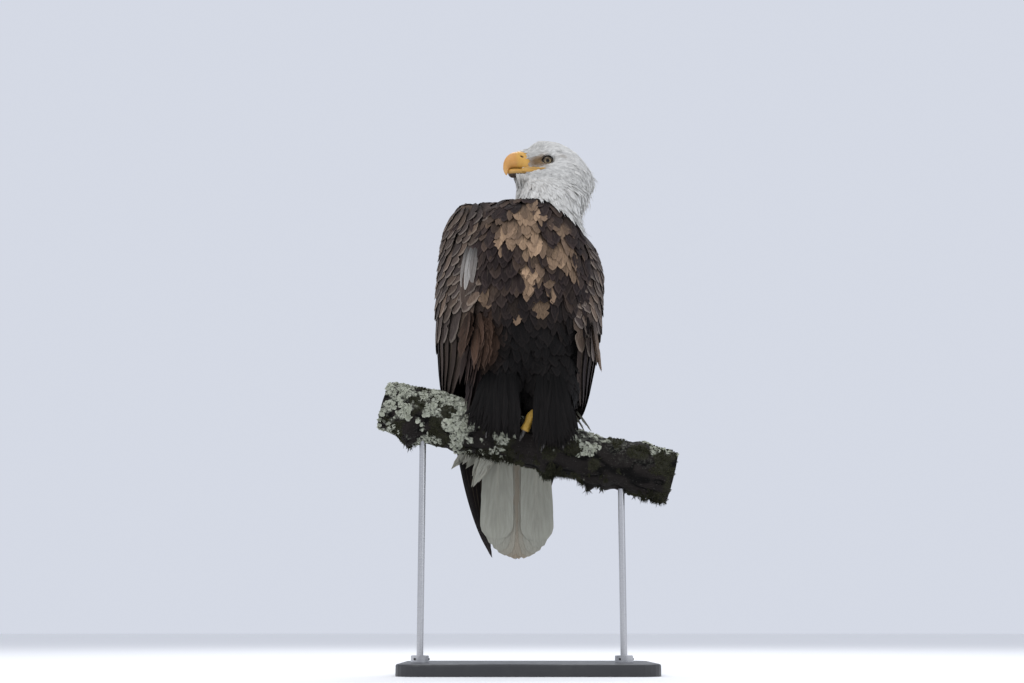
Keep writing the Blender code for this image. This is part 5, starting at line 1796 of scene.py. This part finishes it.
def make_perch():
    look = bpy.context.scene.eagle_perch
    rows, sides = 320, 200
    along = np.linspace(-PERCH_HALF, PERCH_HALF, rows)[:, None]
    turn = circle(sides)[None]
    points = perch(along, turn, 0.0).reshape(-1, 3)
    height, growth = bark_height(points)
    points = points + height[:, None] * unit(from_perch(points)[1])
    rings = points.reshape(rows, sides, 3)
    # each sawn face is a set of rings that shrink to its middle
    left, right = PERCH_CENTRE - PERCH_HALF * PERCH_AXIS, PERCH_CENTRE + PERCH_HALF * PERCH_AXIS
    shrink = np.linspace(1, 0, SAWN_RINGS + 2)[1:-1, None, None]
    left_face, right_face = left + shrink[::-1] * (rings[0] - left), right + shrink * (rings[-1] - right)
    points, quads, tris = loft(np.concatenate([left_face, rings, right_face]), left, right)

    def spread(on_bark, on_cut):
        """Values over the whole branch, from those on its bark and one for both sawn faces."""
        face = np.full(SAWN_RINGS * sides, on_cut)
        return np.concatenate([face, on_bark, face, (on_cut, on_cut)])

    values = {key: spread(value, 0.0) for key, value in growth.items()}
    values["cut"] = spread(np.zeros(rows * sides), 1.0)
    values["radius"] = np.linalg.norm(from_perch(points)[1], axis=1)
    mesh = outward(mesh_from_arrays("branch", points, [quads, tris], values=values))
    n = Look("bark", Roughness=0.9, Specular_IOR_Level=0.15)
    place = n.place()
    bark = n.mix(n.noise(place, 70.0, 5.0), scaled(look.bark, 0.4), scaled(look.bark, 1.5))
    # the furrows are painted near black: painted shade in the cracks of the bark
    bark = n.mix(n.step(n.attribute("furrow"), 0.25, 0.8), bark, scaled(look.bark, 0.15))
    pale = n.mix(n.noise(place, 130.0, 4.0), look.lichen, (0.20, 0.22, 0.15))
    spots = n.step(n.noise(place, 230.0, 6.0, 0.75), 0.44, 0.56, 0.15, 1.0)
    colour = n.mix(n.times(n.attribute("crust"), spots), bark, pale)
    speckle = n.step(n.noise(place, 380.0, 4.0, 0.8), 0.62, 0.70, 0.0, 0.35)
    colour = n.mix(speckle, colour, scaled(look.lichen, 0.7))
    grains = n.step(n.noise(place, 190.0, 6.0, 0.78), 0.50, 0.57)
    colour = n.mix(n.times(grains, n.attribute("dust")), colour, pale)
    colour = n.mix(n.times(n.attribute("mossy"), 0.7), colour, look.moss)
    rings_at = n.times_plus(n.noise(place, 40.0), 0.003, n.attribute("radius"))
    wave = n.math("SINE", n.times(rings_at, 2600.0))
    wood = n.mix(n.step(wave, -0.6, 0.9), (0.17, 0.115, 0.070), (0.30, 0.22, 0.14))
    wood = n.mix(n.step(n.noise(place, 55.0, 4.0), 0.4, 0.8, 0.0, 0.6), wood, (0.12, 0.10, 0.08))
    wood = n.mix(n.step(n.attribute("radius"), 0.0375, 0.0400), wood, (0.035, 0.026, 0.020))
    colour = n.mix(n.attribute("cut"), colour, wood)
    n.set(Base_Color=colour)
    n.bump(n.noise(place, 420.0, 6.0, 0.7), 0.9, 0.0016)
    add_piece("branch", mesh, n.material, ("perch_branch",))
    make_growth(mesh, look)


def growth_tree(mask, material, parts, cone, hangs):
    """Geometry nodes that set tufts of cones on a surface, thicker where its mask attribute says so."""
    n, given = geometry_tree(mask, Density="Float", Seed="Int", Size="Float")
    density = n.times(given["Density"], n.named(mask))
    spots = {"Mesh": given["Geometry"], "Density": density, "Seed": given["Seed"]}
    scattered = n.add("GeometryNodeDistributePointsOnFaces", spots, distribute_method="RANDOM")
    sides, bottom, top, depth = cone
    cone = {"Vertices": sides, "Radius Bottom": bottom, "Radius Top": top, "Depth": depth, "Side Segments": 1}
    blade = n.add("GeometryNodeMeshCone", cone, fill_type="NGON" if top else "NONE").outputs["Mesh"]
    tuft = n.add("GeometryNodeJoinGeometry")
    for k in range(parts):
        tilt = (0.5 * math.cos(2.4 * k), 0.5 * math.sin(2.4 * k), 0.0)
        shift = (0.6 * bottom * math.cos(4 * k), 0.6 * bottom * math.sin(4 * k), -0.0003)
        moved = n.add("GeometryNodeTransform", {"Geometry": blade, "Rotation": tilt, "Translation": shift})
        n.feed(tuft.inputs[0], moved.outputs["Geometry"])
    spins = {"Seed": 3, 0: (-0.5, -0.5, 0.0), 1: (0.5, 0.5, 6.28)}
    spin = n.add("FunctionNodeRandomValue", spins, data_type="FLOAT_VECTOR").outputs[0]
    upright = (math.pi, 0.0, 0.0) if hangs else scattered.outputs["Rotation"]
    turns = {"Rotation": upright, "Rotate By": spin}
    turn = n.add("FunctionNodeRotateRotation", turns, rotation_space="LOCAL")
    size = n.add("FunctionNodeRandomValue", {"Seed": 5, 2: 0.5, 3: 1.4}, data_type="FLOAT")
    place = {"Points": scattered.outputs["Points"], "Instance": tuft.outputs[0], "Rotation": turn.outputs[0]}
    place["Scale"] = n.times(size.outputs[1], given["Size"])
    return n.realized(n.add("GeometryNodeInstanceOnPoints", place).outputs[0], material)


def make_growth(bark, look):
    """Moss, hanging strands and flakes of lichen: mask, colours, tufts on a square metre, cones in a
    tuft, and each cone's sides, radii and length."""
    moss, lichen = look.moss, look.lichen
    for mask, low, high, density, parts, cone, hangs in (
        ("mossy", moss, scaled(moss, 2.2), look.moss_density, 6, (3, 0.0008, 0.0, 0.0034), False),
        ("hanging", scaled(moss, 0.5), moss, 0.4 * look.moss_density, 4, (3, 0.0010, 0.0, 0.010), True),
        ("crust", (0.22, 0.24, 0.17), lichen, 0.6 * look.moss_density, 2, (6, 0.0021, 0.0032, 0.0007), False),
    ):
        n = Look(f"{mask}_growth", Roughness=0.95, Specular_IOR_Level=0.1)
        n.set(Base_Color=n.mix(n.noise(n.place(), 110.0, 4.0), low, high))
        tree = growth_tree(mask, n.material, parts, cone, hangs)
        mesh = grown(tree, bark.copy(), Density=density, Seed=look.seed, Size=1.0)
        add_piece(f"growth_{mask}", mesh, n.material)


# ---- stand ----


def ring_tree(material):
    """Geometry nodes that set copies of the mesh round a circle, each one's z axis facing outwards."""
    n, given = geometry_tree("Ring of Screws", Count="Int", Radius="Float", Middle="Vector")
    ring = n.add("GeometryNodeMeshCircle", {"Vertices": given["Count"], "Radius": given["Radius"]})
    outwards = {"Vector": n.add("GeometryNodeInputPosition").outputs[0]}
    turn = n.add("FunctionNodeAlignRotationToVector", outwards, axis="Z")
    place = {"Points": ring.outputs[0], "Instance": given["Geometry"], "Rotation": turn.outputs[0]}
    placed = n.add("GeometryNodeInstanceOnPoints", place).outputs[0]
    moved = n.add("GeometryNodeTransform", {"Geometry": placed, "Translation": given["Middle"]}).outputs[0]
    return n.realized(moved, material)


def turned_rings(x, y, profile, sides):
    """Rings of points about an upright axis. profile holds the radius and the height of each."""
    turn = circle(sides)
    rings = [np.stack([x + r * np.cos(turn), y + r * np.sin(turn), 0 * turn + z], axis=1) for r, z in profile]
    return np.array(rings)


def screw_mesh():
    """A small screw head with a six-sided socket, facing up the z axis."""
    turn = circle(24)
    flat = 1 / np.cos((turn + math.pi / 6) % (math.pi / 3) - math.pi / 6)
    six = 0.0010 * flat
    profile = ((0.0020, -0.0006), (0.0020, 0.0009), (0.0018, 0.0011), (six, 0.0011), (six, 0.0002))
    points, *faces = loft(turned_rings(0, 0, profile, 24), (0, 0, -0.0006), (0, 0, 0.0002))
    return outward(mesh_from_arrays("screw", points, faces))


def make_stand():
    look = bpy.context.scene.eagle_stand
    paint = Look("base_paint")
    place = paint.place()
    worn = paint.step(paint.noise(place, 35.0, 5.0), 0.45, 0.8, 0.0, 0.3)
    dull = paint.step(paint.noise(place, 60.0, 4.0), 0.2, 0.8, 0.34, 0.52)
    paint.set(Base_Color=paint.mix(worn, look.paint, (0.055, 0.054, 0.053)), Roughness=dull)
    paint.bump(paint.noise(paint.place((60, 400, 400)), 1.0, 3.0), 0.12, 0.0004)
    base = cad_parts["stand_base"]
    base.data.materials.clear()
    base.data.materials.append(paint.material)
    steel = Look("brushed_steel", Base_Color=look.steel, Metallic=1.0)
    brushed = steel.noise(steel.place((30, 30, 2600)), 1.0, 2.0)
    steel.set(Roughness=steel.step(brushed, 0.2, 0.8, 0.22, 0.42))
    steel.bump(brushed, 0.15, 0.0002)
    black = Look("screw_steel", Metallic=1.0, Roughness=0.35)
    grain = black.noise(black.place(), 900.0)
    black.set(Base_Color=black.mix(grain, (0.05, 0.05, 0.05), (0.12, 0.12, 0.125)))
    tree = ring_tree(black.material)
    for letter in "ab":
        low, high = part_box(f"stand_rod_{letter}")
        x, y, radius = (low.x + high.x) / 2, (low.y + high.y) / 2, (high.x - low.x) / 2
        rod = turned_profile(x, y, ((radius, low.z), (radius, high.z)), f"rod_{letter}")
        add_piece(f"rod_{letter}", rod, steel.material, (f"stand_rod_{letter}",))
        low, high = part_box(f"stand_collar_{letter}")
        wide, chamfer = (high.x - low.x) / 2, 0.0012
        profile = (
            (radius + 0.0002, low.z), (wide, low.z), (wide, high.z - chamfer), (wide - chamfer, high.z),
            (radius + 0.0008, high.z), (radius + 0.0002, high.z - 0.0006),
        )
        collar = turned_profile(x, y, profile, f"collar_{letter}", closed=True)
        add_piece(f"collar_{letter}", collar, steel.material, (f"stand_collar_{letter}",))
        middle = (x, y, (low.z + high.z) / 2)
        screws = grown(tree, screw_mesh(), Count=look.screws, Radius=wide, Middle=middle)
        add_piece(f"screws_{letter}", screws, black.material)


def turned_profile(x, y, profile, name, closed=False):
    """A turned solid about an upright axis. A closed profile makes a ring, an open one is capped."""
    rings = turned_rings(x, y, profile, 64)
    if closed:
        points, *faces = closed_ring(rings)
    else:
        points, *faces = loft(rings, (x, y, profile[0][1]), (x, y, profile[-1][1]))
    mesh = outward(mesh_from_arrays(name, points, faces))
    mesh.set_sharp_from_angle(angle=SHARP_METAL)
    return mesh


# ---- stage ----


FLOOR_RADIUS = 40.0
# name, place, aim, size, power, colour
LIGHTS = (
    ("key", (-1.6, -2.2, 3.0), (0, 0, 0.62), 2.4, 48, (1.0, 0.98, 0.95)),
    ("fill", (2.4, -1.8, 1.6), (0, 0, 0.6), 2.2, 14, (0.94, 0.97, 1.0)),
    ("top", (0.3, 1.4, 3.2), (0, 0, 0.7), 2.2, 60, (0.96, 0.98, 1.0)),
)
CAMERA_PLACE = (-0.027, -2.43, 0.0729)
CAMERA_AIM = (-0.027, -0.03, 0.583)


def aimed(name, data, place, aim):
    """A lamp or camera that looks from one place at another."""
    made = linked(name, data)
    made.location = place
    made.rotation_mode = "QUATERNION"
    made.rotation_quaternion = (Vector(aim) - Vector(place)).to_track_quat("-Z", "Y")
    return made


def make_stage():
    scene = bpy.context.scene
    floor = bpy.data.meshes.new("floor")
    with editing(floor) as bm:
        bmesh.ops.create_circle(bm, cap_ends=True, segments=96, radius=FLOOR_RADIUS)
    floor.materials.append(Look("floor", Base_Color=(0.90, 0.90, 0.90), Roughness=0.9).material)
    linked("floor", floor)
    scene.world = bpy.data.worlds.new("studio")
    scene.world.use_nodes = True
    background = scene.world.node_tree.nodes["Background"]
    background.inputs["Color"].default_value = (0.78, 0.82, 0.92, 1)
    background.inputs["Strength"].default_value = 0.85
    for name, place, aim, size, power, colour in LIGHTS:
        light = bpy.data.lights.new(name, "AREA")
        light.energy, light.color, light.size = power, colour, size
        aimed(name, light, place, aim)
    camera = bpy.data.cameras.new("camera")
    camera.lens, camera.sensor_width = 47.92, 36
    scene.camera = aimed("camera", camera, CAMERA_PLACE, CAMERA_AIM)
    scene.view_settings.view_transform = "Standard"


# ---- operators ----


class EAGLE_OT_skin(bpy.types.Operator):
    """Make the seamless skin and the eyelids"""

    bl_idname = "eagle.skin"
    bl_label = "Skin"

    def execute(self, context):
        make_skin()
        return {"FINISHED"}


class EAGLE_OT_head_coat(bpy.types.Operator):
    """Lay the white feathers of head and neck"""

    bl_idname = "eagle.head_coat"
    bl_label = "Head and Neck Feathers"

    def execute(self, context):
        make_head_coat()
        return {"FINISHED"}


class EAGLE_OT_body_coat(bpy.types.Operator):
    """Lay the feathers of breast, back and legs"""

    bl_idname = "eagle.body_coat"
    bl_label = "Body Feathers"

    def execute(self, context):
        make_body_coat()
        return {"FINISHED"}


class EAGLE_OT_wings(bpy.types.Operator):
    """Lay coverts, secondaries and primaries"""

    bl_idname = "eagle.wings"
    bl_label = "Wings"

    def execute(self, context):
        make_wings()
        return {"FINISHED"}


class EAGLE_OT_tail(bpy.types.Operator):
    """Make the white tail"""

    bl_idname = "eagle.tail"
    bl_label = "Tail"

    def execute(self, context):
        make_tail()
        return {"FINISHED"}


class EAGLE_OT_face(bpy.types.Operator):
    """Make bill, cere, mouth corners and eyes"""

    bl_idname = "eagle.face"
    bl_label = "Bill and Eyes"

    def execute(self, context):
        make_bill()
        make_eyes()
        return {"FINISHED"}


class EAGLE_OT_feet(bpy.types.Operator):
    """Make scaled toes and claws"""

    bl_idname = "eagle.feet"
    bl_label = "Feet"

    def execute(self, context):
        make_feet()
        return {"FINISHED"}


class EAGLE_OT_perch(bpy.types.Operator):
    """Make the branch with its lichen and moss"""

    bl_idname = "eagle.perch"
    bl_label = "Perch"

    def execute(self, context):
        make_perch()
        return {"FINISHED"}


class EAGLE_OT_stand(bpy.types.Operator):
    """Finish the display stand"""

    bl_idname = "eagle.stand"
    bl_label = "Stand"

    def execute(self, context):
        make_stand()
        return {"FINISHED"}


class EAGLE_OT_stage(bpy.types.Operator):
    """Make the floor, lights and camera"""

    bl_idname = "eagle.stage"
    bl_label = "Stage"

    def execute(self, context):
        make_stage()
        return {"FINISHED"}


OPERATORS = (
    EAGLE_OT_skin,
    EAGLE_OT_head_coat,
    EAGLE_OT_body_coat,
    EAGLE_OT_wings,
    EAGLE_OT_tail,
    EAGLE_OT_face,
    EAGLE_OT_feet,
    EAGLE_OT_perch,
    EAGLE_OT_stand,
    EAGLE_OT_stage,
)
SETTINGS = {
    "eagle_plumage": EaglePlumage,
    "eagle_face": EagleFace,
    "eagle_perch": EaglePerch,
    "eagle_stand": EagleStand,
}


class EAGLE_PT_panel(bpy.types.Panel):
    """Lists the steps and settings of the eagle"""

    bl_idname = "EAGLE_PT_panel"
    bl_label = "Perched Eagle"
    bl_space_type = "VIEW_3D"
    bl_region_type = "UI"
    bl_category = "Eagle"

    def draw(self, context):
        for key, kind in SETTINGS.items():
            box = self.layout.box()
            for name in kind.__annotations__:
                box.prop(getattr(context.scene, key), name)
        for operator in OPERATORS:
            self.layout.operator(operator.bl_idname)


def register():
    for kind in (*SETTINGS.values(), *OPERATORS, EAGLE_PT_panel):
        bpy.utils.register_class(kind)
    for key, kind in SETTINGS.items():
        setattr(bpy.types.Scene, key, PointerProperty(type=kind))


def unregister():
    for key in SETTINGS:
        delattr(bpy.types.Scene, key)
    for kind in (EAGLE_PT_panel, *reversed(OPERATORS), *SETTINGS.values()):
        bpy.utils.unregister_class(kind)


def main():
    register()
    for operator in OPERATORS:
        getattr(bpy.ops.eagle, operator.bl_idname.split(".")[1])()


if __name__ == "__main__":
    main()
